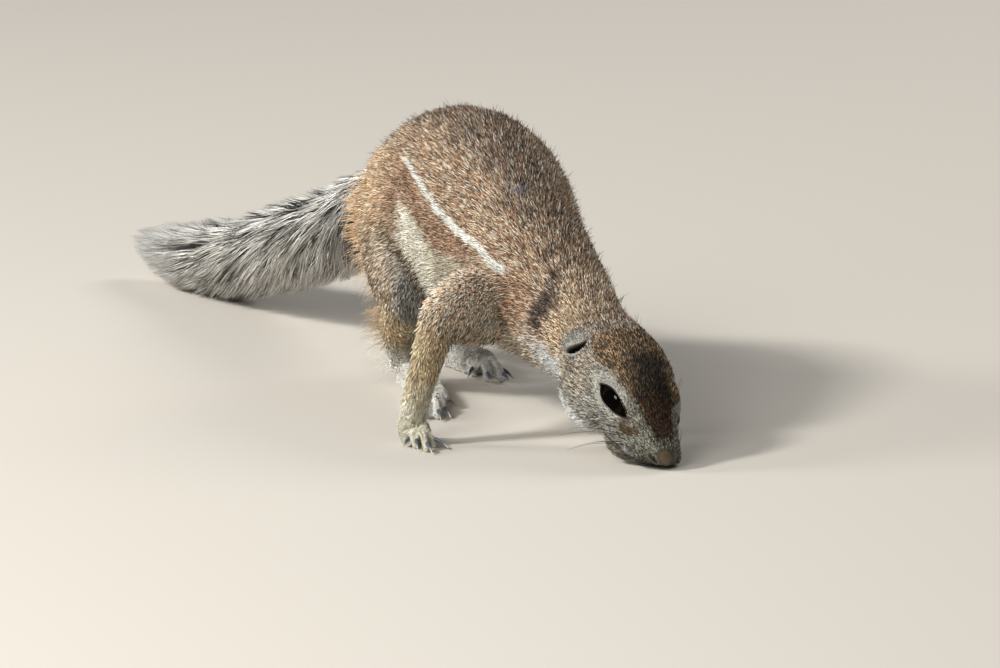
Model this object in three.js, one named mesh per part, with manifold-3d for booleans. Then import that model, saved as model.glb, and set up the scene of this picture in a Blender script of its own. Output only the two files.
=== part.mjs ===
// A Cape ground squirrel, life size, standing on all fours with its back arched and its nose at the ground.
// Millimetres. +X points the way the trunk heads, +Y to the animal's left, +Z up, and the floor is z = 0.
// Every solid reaches out to the tips of the coat. The body is lofted along its own lines, parted by thin
// cuts where a person would name its parts, and rests on small flats under the feet and the tail.
import * as THREE from "three";
import { mergeVertices } from "three/addons/utils/BufferGeometryUtils.js";
import Module from "manifold-3d";

const wasm = await Module();
wasm.setup();

// ---- Driving dimensions ----
const GAP = 0.3; // left between neighbouring solids
const CLAW_GAP = 0.15; // left round the root of each claw
const REACH = 700; // side of the boxes that cut, larger than the animal
const UP = new THREE.Vector3(0, 0, 1);

// A station of a loft is [x, y, z, half width, height above the line, depth below it].
const TRUNK = [
  [-142, 0, 48, 14, 14, 14],
  [-131, 0.5, 47.5, 22.5, 24, 24],
  [-116, 1, 48.5, 28, 33, 28],
  [-96, 1.8, 49.5, 29.3, 36.3, 30],
  [-74, 1, 49, 27, 34.8, 30],
  [-52, -1.2, 46.5, 23, 31.3, 27],
  [-32, -2.5, 43.5, 20, 27, 23.5],
  [-14, -1.5, 39.5, 17.5, 21.5, 20],
  [0, 3, 31.5, 14, 15.5, 16.5],
  [11, 7, 24, 10, 10.5, 13],
];
// Where thin cuts part it, as a share of its line from the rump to the neck.
const TRUNK_CUTS = { rump: 0.34, belly: 0.6, chest: 0.83 };

const TAIL = [
  [-136, 0, 51, 9, 10, 10],
  [-148, -0.5, 48, 12, 13.5, 13],
  [-170, -3, 39, 15, 15.5, 14.5],
  [-199, -7, 28.5, 17, 16, 14],
  [-230, -11, 19.5, 17, 15.5, 13],
  [-258, -14, 13, 16, 14, 12.5],
  [-281, -18, 11, 13.5, 11.5, 12.8],
  [-302, -22.5, 11.5, 9, 7.5, 8],
];
const TAIL_CUTS = { root: 0.06, middle: 0.36, end: 0.68 };

const HEAD_AT = [56, 8.9, 5.2]; // the tip of the nose
const HEAD_TURN = { yaw: 0.4, pitch: 21.3, roll: -13.6 }; // degrees: to its left, nose down, left side up
const NAPE = -50; // where the cut between head and neck lies, in the head's frame
// From here to the ears the head's own frame: x ahead of the nose tip, y to its left, z towards the crown.
const HEAD = [
  [-60, 0, 2, 12, 12, 14],
  [-53, 0, 1.5, 14, 13.5, 16],
  [-45, 0, 1, 15, 14.5, 17],
  [-36, 0, 0.5, 14.5, 14.5, 15.6],
  [-28, 0, 0, 12.2, 13, 13.2],
  [-20, 0, -1.4, 9.8, 10.3, 10],
  [-12, 0, -2.5, 8.6, 7.4, 7.2],
  [-5, 0, -2.5, 6.6, 4.8, 4.6],
  [-2, 0, -2.5, 4.4, 3.2, 3.1],
];
// Rounded forms that swell from it, [x, y, z, half length, half width, half height]; those off the
// midline are doubled on the other side.
const SWELLINGS = [
  [-42.5, 7.5, -6.2, 15.6, 8.5, 9.3], // cheek
  [-18, 5.3, -8.4, 8.5, 5, 3.7], // jaw
  [-28, 7.2, 7.4, 10, 3, 3.2], // brow
  [-10.5, 4.8, -4.6, 8, 4.6, 3.8], // whisker pad
];
const NOSE = [-1.7, 0, -2.4, 2.4, 2.8, 2.2];
const EYE = [-25.6, 9.2, 2.4, 6.8, 4, 4.4];
const EYE_TURN = { inward: 22, down: 12 }; // degrees its front end is turned
const EAR = [-50.5, 13.8, 5.4, 3.6, 2.8, 4.8];
const EAR_SLIT = [-50, 16, 5.4, 1.5, 2.6, 3.5];
const EAR_SET = { turn: 8, dip: 15 }; // degrees: its front edge inwards, its top back

// A leg is an upper and a lower limb, a foot, and the floor points the claws reach.
const LEGS = {
  right_fore: {
    limbs: ["upper_arm", "forearm"],
    upper: [
      [-30, -14, 37.5, 12, 12, 12.5],
      [-25, -22, 37.5, 12, 12, 12],
      [-19.5, -30, 37.3, 10.5, 10, 10.5],
      [-15, -37, 36, 7.2, 6.8, 7.2],
    ],
    lower: [
      [-15.5, -36, 36, 6.3, 6, 6],
      [-13, -40, 28.5, 5.6, 5.5, 5.5],
      [-12, -43.6, 18, 4.6, 4.4, 4.4],
      [-12, -45.8, 10.5, 4.6, 4.4, 4.4],
    ],
    foot: [
      [-15.5, -45.3, 5.8, 4.2, 4.6, 6.4],
      [-10.5, -46.4, 4.8, 5.4, 3.8, 5.4],
    ],
    toe: { radius: 1.6, arch: 5.6 },
    claws: [[-6, -51.3], [0.5, -49], [7, -46.8], [0.5, -39.3]],
  },
  left_fore: {
    limbs: ["upper_arm", "forearm"],
    upper: [
      [-34, 9, 39, 10, 10, 10],
      [-32.5, 14, 36, 9.5, 9.5, 9.5],
      [-31, 18, 31, 8, 8, 8],
      [-30, 20.5, 26.5, 6.5, 6.5, 6.5],
    ],
    lower: [
      [-29, 21, 26, 6, 6, 6],
      [-24, 21, 19, 5.2, 5.2, 5.2],
      [-19, 20.5, 12, 4.6, 4.6, 4.6],
      [-15, 20, 8, 4.4, 4.4, 4.4],
    ],
    foot: [
      [-18, 20, 5.8, 4.2, 4.6, 6.4],
      [-12.5, 20, 4.8, 5.4, 3.8, 5.4],
    ],
    toe: { radius: 1.6, arch: 5.6 },
    claws: [[-3, 14.5], [3, 18.5], [3.5, 22.5], [-3, 26]],
  },
  right_hind: {
    limbs: ["thigh", "shank"],
    upper: [
      [-124, -10.5, 51, 10.5, 15, 16],
      [-111, -13, 45, 13.5, 19, 21],
      [-95, -18, 39, 12.5, 17, 18],
      [-79, -22.5, 33, 8.5, 10, 11],
    ],
    lower: [
      [-83, -22, 31, 6.4, 7, 7],
      [-91, -21, 23, 6.8, 8.4, 8.4],
      [-102, -17.5, 14, 5, 5.8, 5.8],
      [-106, -15, 8, 4.8, 5.2, 5.2],
    ],
    foot: [
      [-105.5, -14, 5.6, 4.2, 4.2, 6.2],
      [-92, -16, 4.8, 4.6, 4, 5.4],
      [-77, -19, 4.4, 5.4, 4, 5],
      [-64, -22, 4, 6.6, 3.4, 4.7],
    ],
    toe: { radius: 1.75, arch: 5 },
    claws: [[-66, -12.5], [-47, -21.5], [-43, -26], [-45.5, -30.5], [-56, -32]],
  },
  left_hind: {
    limbs: ["thigh", "shank"],
    upper: [
      [-126, 11, 52, 10, 14, 15],
      [-118, 14, 45, 13, 17, 18],
      [-109, 22, 35.5, 12, 14.5, 14.5],
      [-101, 24, 27, 8, 9, 9],
    ],
    lower: [
      [-102, 24, 26, 7, 8, 8],
      [-122, 19, 21, 6.5, 8, 8],
      [-144, 12.5, 14, 5.2, 6, 6],
      [-154, 9.5, 9.5, 4.6, 4.6, 4.6],
    ],
    foot: [
      [-155, 9, 6, 4.2, 4.2, 6.6],
      [-143, 9.5, 5, 4.6, 4, 5.7],
      [-129, 11, 4.5, 5.4, 4, 5.1],
      [-117, 12.5, 4, 6.6, 3.4, 4.7],
    ],
    toe: { radius: 1.75, arch: 5 },
    claws: [[-108, 6], [-97.6, 9.6], [-95.6, 15], [-102.5, 18.5], [-111, 20]],
  },
};
const CLAW = { length: 5, girth: 0.85, tip: 0.25 };

// Plain colours of the coat and the bare parts, [colour, roughness].
const LOOKS = {
  back: [0x9a7350, 0.9],
  crown: [0x7d5a3a, 0.9],
  pale: [0xcdbd9f, 0.9],
  limb: [0xb89a68, 0.9],
  foot: [0xe0d6bf, 0.9],
  tail: [0x9c9281, 0.95],
  claw: [0x4b4c55, 0.45],
  nose: [0x9c7b62, 0.6],
  eye: [0x120d0a, 0.08],
};

// ---- Making, joining and parting shapes ----

const { degToRad: rad } = THREE.MathUtils;

function solid(geometry) {
  const bare = geometry.index ? geometry.toNonIndexed() : geometry.clone();
  bare.deleteAttribute("normal");
  bare.deleteAttribute("uv");
  const merged = mergeVertices(bare, 1e-3);
  return new wasm.Manifold(
    new wasm.Mesh({
      numProp: 3,
      vertProperties: merged.attributes.position.array,
      triVerts: new Uint32Array(merged.index.array),
    }),
  );
}

function lineOf(stations) {
  return new THREE.CatmullRomCurve3(stations.map(([x, y, z]) => new THREE.Vector3(x, y, z)));
}

// A closed round form along a smooth line through its stations, with rounded ends.
function loft(stations, { sides = 10, rows = 9, cap = 2, round = 0.8, grow = 0 } = {}) {
  const line = lineOf(stations);
  const girth = lineOf(stations.map((station) => station.slice(3)));
  const form = new THREE.SphereGeometry(1, sides, rows);
  const { position, uv } = form.attributes;
  for (let i = 0; i < position.count; i++) {
    const row = Math.round((1 - uv.getY(i)) * rows);
    const before = Math.max(0, cap - row) / cap;
    const after = Math.max(0, row - rows + cap) / cap;
    const t = THREE.MathUtils.clamp((row - cap) / (rows - 2 * cap), 0, 1);
    const lean = ((after - before) * Math.PI) / 2;
    const size = girth.getPoint(t).addScalar(grow);
    const along = line.getTangent(t);
    const left = UP.clone().cross(along).normalize();
    const rise = along.clone().cross(left);
    const turn = 2 * Math.PI * uv.getX(i);
    const high = -Math.sin(turn);
    const at = line.getPoint(t);
    at.addScaledVector(along, (Math.sin(lean) * round * (size.x + size.y + size.z)) / 3);
    at.addScaledVector(left, Math.cos(lean) * size.x * Math.cos(turn));
    at.addScaledVector(rise, Math.cos(lean) * high * (high > 0 ? size.y : size.z));
    position.setXYZ(i, at.x, at.y, at.z);
  }
  return solid(form);
}

function ball([x, y, z, long, wide, high], { sides = 12, rows = 8, turn = 0, dip = 0, grow = 0 } = {}) {
  const form = new THREE.SphereGeometry(1, sides, rows);
  form.scale(long + grow, wide + grow, high + grow);
  form.rotateY(rad(dip)).rotateZ(rad(turn)).translate(x, y, z);
  return solid(form);
}

// Everything that lies beyond a plane through a point.
function beyond(point, along) {
  const turn = new THREE.Quaternion().setFromUnitVectors(new THREE.Vector3(1, 0, 0), along);
  const box = new THREE.BoxGeometry(REACH, REACH, REACH).translate(REACH / 2, 0, 0);
  return solid(box.applyMatrix4(new THREE.Matrix4().compose(point, turn, new THREE.Vector3(1, 1, 1))));
}

// Parts a body with a thin cut: what lies before the cut, and what lies beyond it.
function parted(body, point, along) {
  const start = beyond(point.clone().addScaledVector(along, -GAP / 2), along);
  const end = beyond(point.clone().addScaledVector(along, GAP / 2), along);
  return [body.subtract(start), body.intersect(end)];
}

function partedAlong(body, line, share) {
  return parted(body, line.getPoint(share), line.getTangent(share));
}

const pieces = [];
const underFloor = beyond(new THREE.Vector3(), new THREE.Vector3(0, 0, -1));

function keep(name, look, body) {
  pieces.push({ name, look, body });
}

// ---- Head: skull, cheeks, brows and muzzle in one, with sockets for the nose, the eyes and the ears ----

const headTurn = new THREE.Euler(rad(HEAD_TURN.roll), rad(HEAD_TURN.pitch), rad(HEAD_TURN.yaw), "ZYX");
const headFrame = new THREE.Matrix4().makeRotationFromEuler(headTurn).setPosition(...HEAD_AT);
const inHead = (body) => body.transform(headFrame.elements);

let head = loft(HEAD, { sides: 16, rows: 12, round: 0.6 });
const sockets = [ball(NOSE, { sides: 10, rows: 6, grow: GAP })];
keep("nose", "nose", inHead(ball(NOSE, { sides: 10, rows: 6 })));

for (const [side, name] of [[1, "left"], [-1, "right"]]) {
  for (const [x, y, z, ...size] of SWELLINGS) {
    if (y > 0 || side > 0) head = head.add(ball([x, side * y, z, ...size], { sides: 8, rows: 6 }));
  }
  const [x, y, z, ...size] = EYE;
  const set = { sides: 10, rows: 6, turn: -side * EYE_TURN.inward, dip: EYE_TURN.down };
  keep(`eye_${name}`, "eye", inHead(ball([x, side * y, z, ...size], set)));
  sockets.push(ball([x, side * y, z, ...size], { ...set, grow: GAP }));
  const ear = ([ahead, out, up, ...radii], grow) =>
    ball([ahead, side * out, up, ...radii], { sides: 8, rows: 6, turn: side * EAR_SET.turn, dip: EAR_SET.dip, grow });
  keep(`ear_${name}`, "pale", inHead(ear(EAR, 0).subtract(ear(EAR_SLIT, 0))));
  sockets.push(ear(EAR, GAP));
}

// ---- Trunk, neck, head and tail, one body before the cuts ----

const trunkLine = lineOf(TRUNK);
const tailLine = lineOf(TAIL);
const tail = loft(TAIL, { sides: 10, rows: 13 }).subtract(underFloor);
const [tailInRump, tailOutside] = partedAlong(tail, tailLine, TAIL_CUTS.root);
let flesh = loft(TRUNK, { sides: 16, rows: 15 }).add(inHead(head));
flesh = partedAlong(flesh.add(tailInRump), tailLine, TAIL_CUTS.root);
flesh = flesh[0].subtract(underFloor);
for (const socket of sockets) flesh = flesh.subtract(inHead(socket));
for (const { upper, lower } of Object.values(LEGS)) {
  flesh = flesh.subtract(loft(upper, { grow: GAP })).subtract(loft(lower, { grow: GAP }));
}

const nape = new THREE.Vector3(NAPE, 0, 0).applyMatrix4(headFrame);
const headAhead = new THREE.Vector3().setFromMatrixColumn(headFrame, 0);
const [body, headPiece] = parted(flesh, nape, headAhead);
const [rump, restOfBody] = partedAlong(body, trunkLine, TRUNK_CUTS.rump);
const [belly, front] = partedAlong(restOfBody, trunkLine, TRUNK_CUTS.belly);
const [chest, neck] = partedAlong(front, trunkLine, TRUNK_CUTS.chest);
keep("head", "crown", headPiece);
keep("neck", "back", neck);
keep("chest", "back", chest);
keep("belly", "back", belly);
keep("rump", "back", rump);
const [tailRoot, tailRest] = partedAlong(tailOutside, tailLine, TAIL_CUTS.middle);
const [tailMiddle, tailEnd] = partedAlong(tailRest, tailLine, TAIL_CUTS.end);
keep("tail_root", "tail", tailRoot);
keep("tail_middle", "tail", tailMiddle);
keep("tail_end", "tail", tailEnd);

// ---- Legs: two limbs, a foot with its toes, and the claws let into the toes ----

for (const [name, leg] of Object.entries(LEGS)) {
  const [side, which] = name.split("_");
  const [upperName, lowerName] = leg.limbs;
  keep(`${upperName}_${side}`, which === "fore" ? "limb" : "back", loft(leg.upper));
  const lower = loft(leg.lower).subtract(loft(leg.upper, { grow: GAP }));
  keep(`${lowerName}_${side}`, "limb", lower);

  const ballOfFoot = new THREE.Vector3(...leg.foot.at(-1).slice(0, 3));
  const { radius, arch } = leg.toe;
  const bones = [];
  const claws = [];
  for (const [x, y] of leg.claws) {
    const tip = new THREE.Vector3(x, y, 0.6);
    const ahead = tip.clone().sub(ballOfFoot).setZ(0);
    const length = ahead.length();
    ahead.normalize();
    const end = tip.clone().addScaledVector(ahead, -Math.min(CLAW.length, length * 0.55)).setZ(radius * 0.7);
    const knuckle = end.clone().addScaledVector(ahead, -Math.min(5, length * 0.35)).setZ(arch);
    const root = ballOfFoot.clone().addScaledVector(ahead, THREE.MathUtils.clamp(length - 12, 0, 4));
    bones.push([
      [...root, radius, radius, radius],
      [...knuckle, radius, radius, radius],
      [...end, radius * 0.9, radius * 0.9, radius],
    ]);
    const stations = [
      [...end.clone().addScaledVector(ahead, 0.6).setZ(2), 0.8, CLAW.girth, CLAW.girth],
      [...end.clone().lerp(tip, 0.5).setZ(2.1), 0.65, 0.75, 0.75],
      [...tip, CLAW.tip, CLAW.tip, CLAW.tip],
    ];
    claws.push({ stations, root: [end.clone().addScaledVector(ahead, 0.9), ahead] });
  }
  let foot = loft(leg.foot, { sides: 8, rows: 7 });
  bones.forEach((bone, i) => {
    const toe = loft(bone, { sides: 6, rows: 5, cap: 1, round: 0.9 });
    foot = foot.add(toe.subtract(beyond(...claws[i].root)));
  });
  foot = foot.subtract(loft(leg.lower, { grow: GAP })).subtract(loft(leg.upper, { grow: GAP }));
  foot = foot.subtract(underFloor);
  claws.forEach(({ stations, root: [start, ahead] }, i) => {
    const room = loft(stations, { sides: 5, rows: 5, cap: 1, grow: CLAW_GAP });
    foot = foot.subtract(room.intersect(beyond(start, ahead)));
    const shape = loft(stations, { sides: 5, rows: 5, cap: 1 });
    const cut = shape.intersect(beyond(start.clone().addScaledVector(ahead, CLAW_GAP), ahead));
    keep(`${which}_claw_${side}_${i + 1}`, "claw", cut.subtract(underFloor));
  });
  keep(`${which}foot_${side}`, "foot", foot);
}

// ---- The animal, with its origin on the floor at the middle of its bounds ----

const squirrel = new THREE.Group();
squirrel.name = "squirrel";
for (const { name, look, body: made } of pieces) {
  const { vertProperties, triVerts } = made.getMesh();
  const geometry = new THREE.BufferGeometry();
  geometry.setAttribute("position", new THREE.BufferAttribute(Float32Array.from(vertProperties), 3));
  geometry.setIndex(Array.from(triVerts));
  geometry.computeVertexNormals();
  const [color, roughness] = LOOKS[look];
  const material = new THREE.MeshStandardMaterial({ name: `${name}_surface`, color, roughness, metalness: 0 });
  const mesh = new THREE.Mesh(geometry, material);
  mesh.name = name;
  squirrel.add(mesh);
}
const bounds = new THREE.Box3().setFromObject(squirrel);
const middle = bounds.getCenter(new THREE.Vector3());
squirrel.position.set(-middle.x, -middle.y, -bounds.min.z);
squirrel.updateMatrixWorld(true);

export default squirrel;
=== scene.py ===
import math

import bmesh
import bpy
import numpy as np
from mathutils import Matrix, Vector
from mathutils.bvhtree import BVHTree
from mathutils.kdtree import KDTree


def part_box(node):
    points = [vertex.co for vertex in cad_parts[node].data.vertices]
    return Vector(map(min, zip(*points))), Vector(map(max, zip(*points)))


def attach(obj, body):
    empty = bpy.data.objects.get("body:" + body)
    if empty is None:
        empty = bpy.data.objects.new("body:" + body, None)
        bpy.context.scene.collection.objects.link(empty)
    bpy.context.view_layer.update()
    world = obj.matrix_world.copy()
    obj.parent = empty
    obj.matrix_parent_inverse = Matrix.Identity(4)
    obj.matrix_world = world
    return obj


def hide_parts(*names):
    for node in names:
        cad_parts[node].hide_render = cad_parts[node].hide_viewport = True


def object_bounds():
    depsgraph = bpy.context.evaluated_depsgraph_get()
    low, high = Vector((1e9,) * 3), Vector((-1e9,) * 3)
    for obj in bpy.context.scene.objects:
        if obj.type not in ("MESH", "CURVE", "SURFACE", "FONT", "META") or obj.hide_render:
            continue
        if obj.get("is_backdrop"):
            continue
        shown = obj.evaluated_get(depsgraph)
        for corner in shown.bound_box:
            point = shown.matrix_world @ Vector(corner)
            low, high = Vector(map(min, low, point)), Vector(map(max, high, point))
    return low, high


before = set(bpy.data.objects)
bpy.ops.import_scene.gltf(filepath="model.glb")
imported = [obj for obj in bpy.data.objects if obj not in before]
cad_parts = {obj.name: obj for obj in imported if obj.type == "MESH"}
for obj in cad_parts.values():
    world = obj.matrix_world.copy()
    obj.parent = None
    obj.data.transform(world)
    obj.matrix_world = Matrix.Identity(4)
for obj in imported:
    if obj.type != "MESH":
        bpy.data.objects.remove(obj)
cad_low, cad_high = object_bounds()

# Room
# A plain pale floor under the animal, a small strong lamp to its right, softer ones ahead, low towards
# its tail and on its left, and an even light all round. The camera is low, ahead and a little right.
MM = 0.001
FLOOR_REACH = 6.0
CAMERA_TURN, CAMERA_RISE, CAMERA_AWAY = 70, 10, 7
AIM = Vector((0.1280, -0.01465, 0.0339))


def linear(code):
    """A paint colour written as six hexadecimal digits, as linear red, green and blue."""
    parts = [int(code[i:i + 2], 16) / 255 for i in (0, 2, 4)]
    return np.array([
        part / 12.92 if part <= 0.04045 else ((part + 0.055) / 1.055) ** 2.4 for part in parts
    ])


def direction(turn, rise):
    """The way from the animal to something, by its turn from the right side to the nose and its rise."""
    a, e = math.radians(turn), math.radians(rise)
    return Vector((math.sin(a) * math.cos(e), -math.cos(a) * math.cos(e), math.sin(e)))


def finish(name, roughness, **constant):
    """A new material, with its nodes, its links and its shader."""
    made = bpy.data.materials.new(name)
    made.use_nodes = True
    shader = made.node_tree.nodes["Principled BSDF"]
    shader.inputs["Roughness"].default_value = roughness
    for socket, value in constant.items():
        shader.inputs[socket.replace("_", " ")].default_value = value
    return made, made.node_tree.nodes, made.node_tree.links, shader


def meshed(form, name):
    """A mesh with the shape of a bmesh, which is let go."""
    mesh = bpy.data.meshes.new(name)
    form.to_mesh(mesh)
    form.free()
    return mesh


def placed(name, data):
    """A new object in the scene, at the origin."""
    thing = bpy.data.objects.new(name, data)
    bpy.context.scene.collection.objects.link(thing)
    return thing


floor_mesh = bmesh.new()
bmesh.ops.create_grid(floor_mesh, x_segments=1, y_segments=1, size=FLOOR_REACH)
floor_data = meshed(floor_mesh, "floor")
floor = placed("floor", floor_data)
floor_paint, nodes, links, shader = finish("pale floor", 0.9)
shader.inputs["Base Color"].default_value = (*linear("c9c2b6"), 1)
floor_data.materials.append(floor_paint)
floor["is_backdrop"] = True

middle = (Vector(cad_low) + Vector(cad_high)) / 2
for name, turn, rise, away, width, power in (
    ("key", 7, 37, 1.7, 0.26, 25.5),
    ("side", 48, 27, 1.7, 0.7, 14.5),
    ("low", -26, 24, 1.5, 0.4, 11),
    ("back", 205, 36, 1.7, 0.7, 12),
):
    lamp = bpy.data.lights.new(name, "AREA")
    lamp.size = width
    lamp.energy = power
    lamp_at = placed(name, lamp)
    lamp_at.location = middle + direction(turn, rise) * away
    lamp_at.rotation_euler = direction(turn, rise).to_track_quat("Z", "Y").to_euler()
    lamp_at.visible_glossy = name == "key"
world = bpy.data.worlds.new("studio")
world.use_nodes = True
background = world.node_tree.nodes["Background"]
background.inputs["Color"].default_value = (*linear("dfe6f2"), 1)
background.inputs["Strength"].default_value = 0.2
bpy.context.scene.world = world
bpy.context.scene.view_settings.view_transform = "Standard"

camera_data = bpy.data.cameras.new("camera")
camera_data.sensor_width = 36
camera_data.lens = 857
camera_data.clip_end = 50
camera = placed("camera", camera_data)
camera_way = direction(CAMERA_TURN, CAMERA_RISE)
camera.location = AIM + camera_way * CAMERA_AWAY
camera.rotation_euler = camera_way.to_track_quat("Z", "Y").to_euler()
bpy.context.scene.camera = camera

# Skin
# One hide from the nose to the end of the tail's core. It is drawn tight over the forms of the
# body, and lies under their surface by the depth of the hair.
BRIDGE = 0.3 * MM
GRAIN = 0.6 * MM
KEEP = 0.105
SMOOTHING, LIE_BLENDING = 90, 60
FINE = ("nose", "head", "eye", "ear", "forefoot", "hindfoot")
COAT = {  # depth, tuft length and width in mm, lift in degrees, tufts to the square mm
    "nose": (0.10, 0.8, 0.12, 9, 9),
    "head": (0.6, 1.8, 0.17, 18, 12.5),
    "eye": (0.3, 1.3, 0.15, 12, 12.5),
    "ear": (0.3, 1.4, 0.15, 20, 12.5),
    "neck": (1.2, 2.4, 0.20, 29, 10.8),
    "chest": (1.5, 2.7, 0.23, 32, 8.6),
    "belly": (1.6, 2.8, 0.23, 33, 8.4),
    "rump": (1.6, 2.8, 0.23, 33, 7.9),
    "upper_arm": (1.2, 2.6, 0.21, 27, 8.8),
    "forearm": (0.7, 2.5, 0.17, 17, 10.5),
    "forefoot": (0.3, 1.6, 0.16, 13, 10),
    "thigh": (1.6, 3.0, 0.22, 31, 8.8),
    "shank": (0.8, 2.5, 0.21, 18, 7.8),
    "hindfoot": (0.3, 1.8, 0.18, 13, 8),
    "tail_root": (0.8, 7.0, 0.4, 20, 4),
    "tail_middle": (0.0, 7.0, 0.4, 20, 4),
    "tail_end": (0.0, 7.0, 0.4, 20, 4),
}


def centre(node):
    """The middle of a part's box, in mm."""
    low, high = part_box(node)
    return np.array([(low[i] + high[i]) / 2 for i in range(3)]) / MM


def family(node):
    """What the part is called on either side of the body."""
    return node.replace("_left", "").replace("_right", "")


def evaluated(thing):
    """The mesh of an object with its modifiers worked out."""
    graph = bpy.context.evaluated_depsgraph_get()
    return bpy.data.meshes.new_from_object(thing.evaluated_get(graph))


def positions(mesh):
    """A mesh's points in mm, as rows."""
    flat = np.zeros(len(mesh.vertices) * 3)
    mesh.vertices.foreach_get("co", flat)
    return flat.reshape(-1, 3) / MM


flesh = sorted(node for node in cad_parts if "claw" not in node)
body = bmesh.new()
for index, node in enumerate(flesh):
    form = bmesh.new()
    form.from_mesh(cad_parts[node].data)
    bmesh.ops.remove_doubles(form, verts=form.verts, dist=1e-6)
    form.normal_update()
    for vert in form.verts:
        vert.co += vert.normal * BRIDGE
    for face in form.faces:
        face.material_index = index
    part = meshed(form, "form")
    body.from_mesh(part)
    bpy.data.meshes.remove(part)
parts_tree = BVHTree.FromBMesh(body)
part_of_face = [face.material_index for face in body.faces]
skin = placed("skin", meshed(body, "skin"))
wrap = skin.modifiers.new("wrap", "REMESH")
wrap.mode = "VOXEL"
wrap.voxel_size = GRAIN
wrapped = evaluated(skin)
skin.modifiers.clear()
skin.data = wrapped


def nearest_part(mesh):
    """For each point of the mesh, the number of the part of the body that it is nearest to."""
    return np.array([part_of_face[parts_tree.find_nearest(vert.co)[2]] for vert in mesh.vertices])


def edges_of(mesh):
    """The two points of each edge of a mesh, as rows."""
    flat = np.zeros(len(mesh.edges) * 2, np.int32)
    mesh.edges.foreach_get("vertices", flat)
    return flat.reshape(-1, 2)


def spread(values, edges, share, rounds):
    """Each value taken part of the way to the mean of its neighbours, several times over."""
    values = np.array(values, float)
    size = len(values)
    near = np.bincount(edges.ravel(), minlength=size)
    for _ in range(rounds):
        for k in range(values.shape[1]):
            column = values[:, k]
            total = np.bincount(edges[:, 0], column[edges[:, 1]], size)
            total += np.bincount(edges[:, 1], column[edges[:, 0]], size)
            values[:, k] = column + share * (total / near - column)
    return values


EVENNESS = {"head": 0.10, "nose": 0.04, "eye": 0.10, "ear": 0.05, "neck": 0.45, "upper_arm": 0.3,
            "forearm": 0.12, "forefoot": 0.03, "thigh": 0.5, "shank": 0.12, "hindfoot": 0.03}
TRUNK_EVENNESS = 0.7
wrapped_part = nearest_part(wrapped)
wrapped_ends = edges_of(wrapped)
evenness = np.array([EVENNESS.get(family(node), TRUNK_EVENNESS) for node in flesh])[wrapped_part]
evenness = spread(evenness[:, None], wrapped_ends, 0.5, 20)[:, 0]
rounded = spread(positions(wrapped), wrapped_ends, evenness, SMOOTHING)
wrapped.vertices.foreach_set("co", (rounded * MM).ravel())
wrapped.update()
is_fine = np.array([family(node) in FINE for node in flesh])
coarse = np.where(~is_fine[wrapped_part])[0].tolist()
skin.vertex_groups.new(name="coarse").add(coarse, 1.0, "REPLACE")
thin = skin.modifiers.new("thin", "DECIMATE")
thin.vertex_group = "coarse"
thin.vertex_group_factor = 10
thin.ratio = KEEP + (1 - KEEP) * (1 - len(coarse) / len(wrapped.vertices))
skin_data = evaluated(skin)
skin.modifiers.clear()
skin.vertex_groups.clear()
skin.data = skin_data

eyes_middle = (centre("eye_left") + centre("eye_right")) / 2
HEAD_LEFT = centre("eye_left") - centre("eye_right")
HEAD_LEFT /= np.linalg.norm(HEAD_LEFT)
to_nose = centre("nose") - eyes_middle
to_nose /= np.linalg.norm(to_nose)
NOSE_DIP = math.radians(11.36)
to_crown = np.cross(to_nose, HEAD_LEFT)
HEAD_AHEAD = math.cos(NOSE_DIP) * to_nose + math.sin(NOSE_DIP) * to_crown
HEAD_UP = np.cross(HEAD_AHEAD, HEAD_LEFT)
HEAD_AXES = np.stack([HEAD_AHEAD, HEAD_LEFT, HEAD_UP])
EYE_BACK = 25.6
EYE_UP = 2.4
HEAD_TIP = eyes_middle + EYE_BACK * HEAD_AHEAD - EYE_UP * HEAD_UP
EYE_AT = np.array([-23.6, 10.6, 2.6])
EAR_AT = np.array([-50.0, 14.8, 5.6])


def on_head(points):
    """Points as distances ahead of the nose's tip, to the head's left, and towards its crown."""
    return (points - HEAD_TIP) @ HEAD_AXES.T


def refined(form, chosen):
    """Cuts each face that touches the chosen points into four."""
    picked = {vert for vert, take in zip(form.verts, chosen) if take}
    edges = [edge for edge in form.edges if edge.verts[0] in picked and edge.verts[1] in picked]
    bmesh.ops.subdivide_edges(form, edges=edges, cuts=1, use_grid_fill=True)


def rows(form):
    """A bmesh's points in mm."""
    return np.array([vert.co for vert in form.verts]) / MM


body = bmesh.new()
body.from_mesh(skin_data)
for reach in (8.8, 7.4):
    local = on_head(rows(body))
    mirrored = np.column_stack([local[:, 0], np.abs(local[:, 1]), local[:, 2]])
    near_eye = np.linalg.norm((mirrored - EYE_AT) * [0.85, 1, 1.3], axis=1) < reach
    near_ear = np.linalg.norm(mirrored - EAR_AT, axis=1) < reach - 2.6
    refined(body, near_eye | near_ear)
local = on_head(rows(body))
refined(body, local[:, 0] > -9)
bmesh.ops.triangulate(body, faces=body.faces)
skin_data = meshed(body, "skin")
skin.data = skin_data
points = positions(skin_data)
count = len(points)
ends = edges_of(skin_data)
corners = np.zeros(len(skin_data.polygons) * 3, np.int32)
skin_data.polygons.foreach_get("vertices", corners)
corners = corners.reshape(-1, 3)


def unit(vectors):
    """Each row at length one."""
    return vectors / np.maximum(np.linalg.norm(vectors, axis=1, keepdims=True), 1e-9)


def outward(places):
    """The skin's way out at each point."""
    a, b, c = (places[corners[:, k]] for k in range(3))
    face = np.cross(b - a, c - a)
    total = np.stack([
        sum(np.bincount(corners[:, j], face[:, k], count) for j in range(3)) for k in range(3)
    ], axis=1)
    return unit(total)


def ramp(value, start, end):
    """0 before start, 1 past end, and smooth between."""
    t = np.clip((value - start) / (end - start), 0, 1)
    return t * t * (3 - 2 * t)


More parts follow.
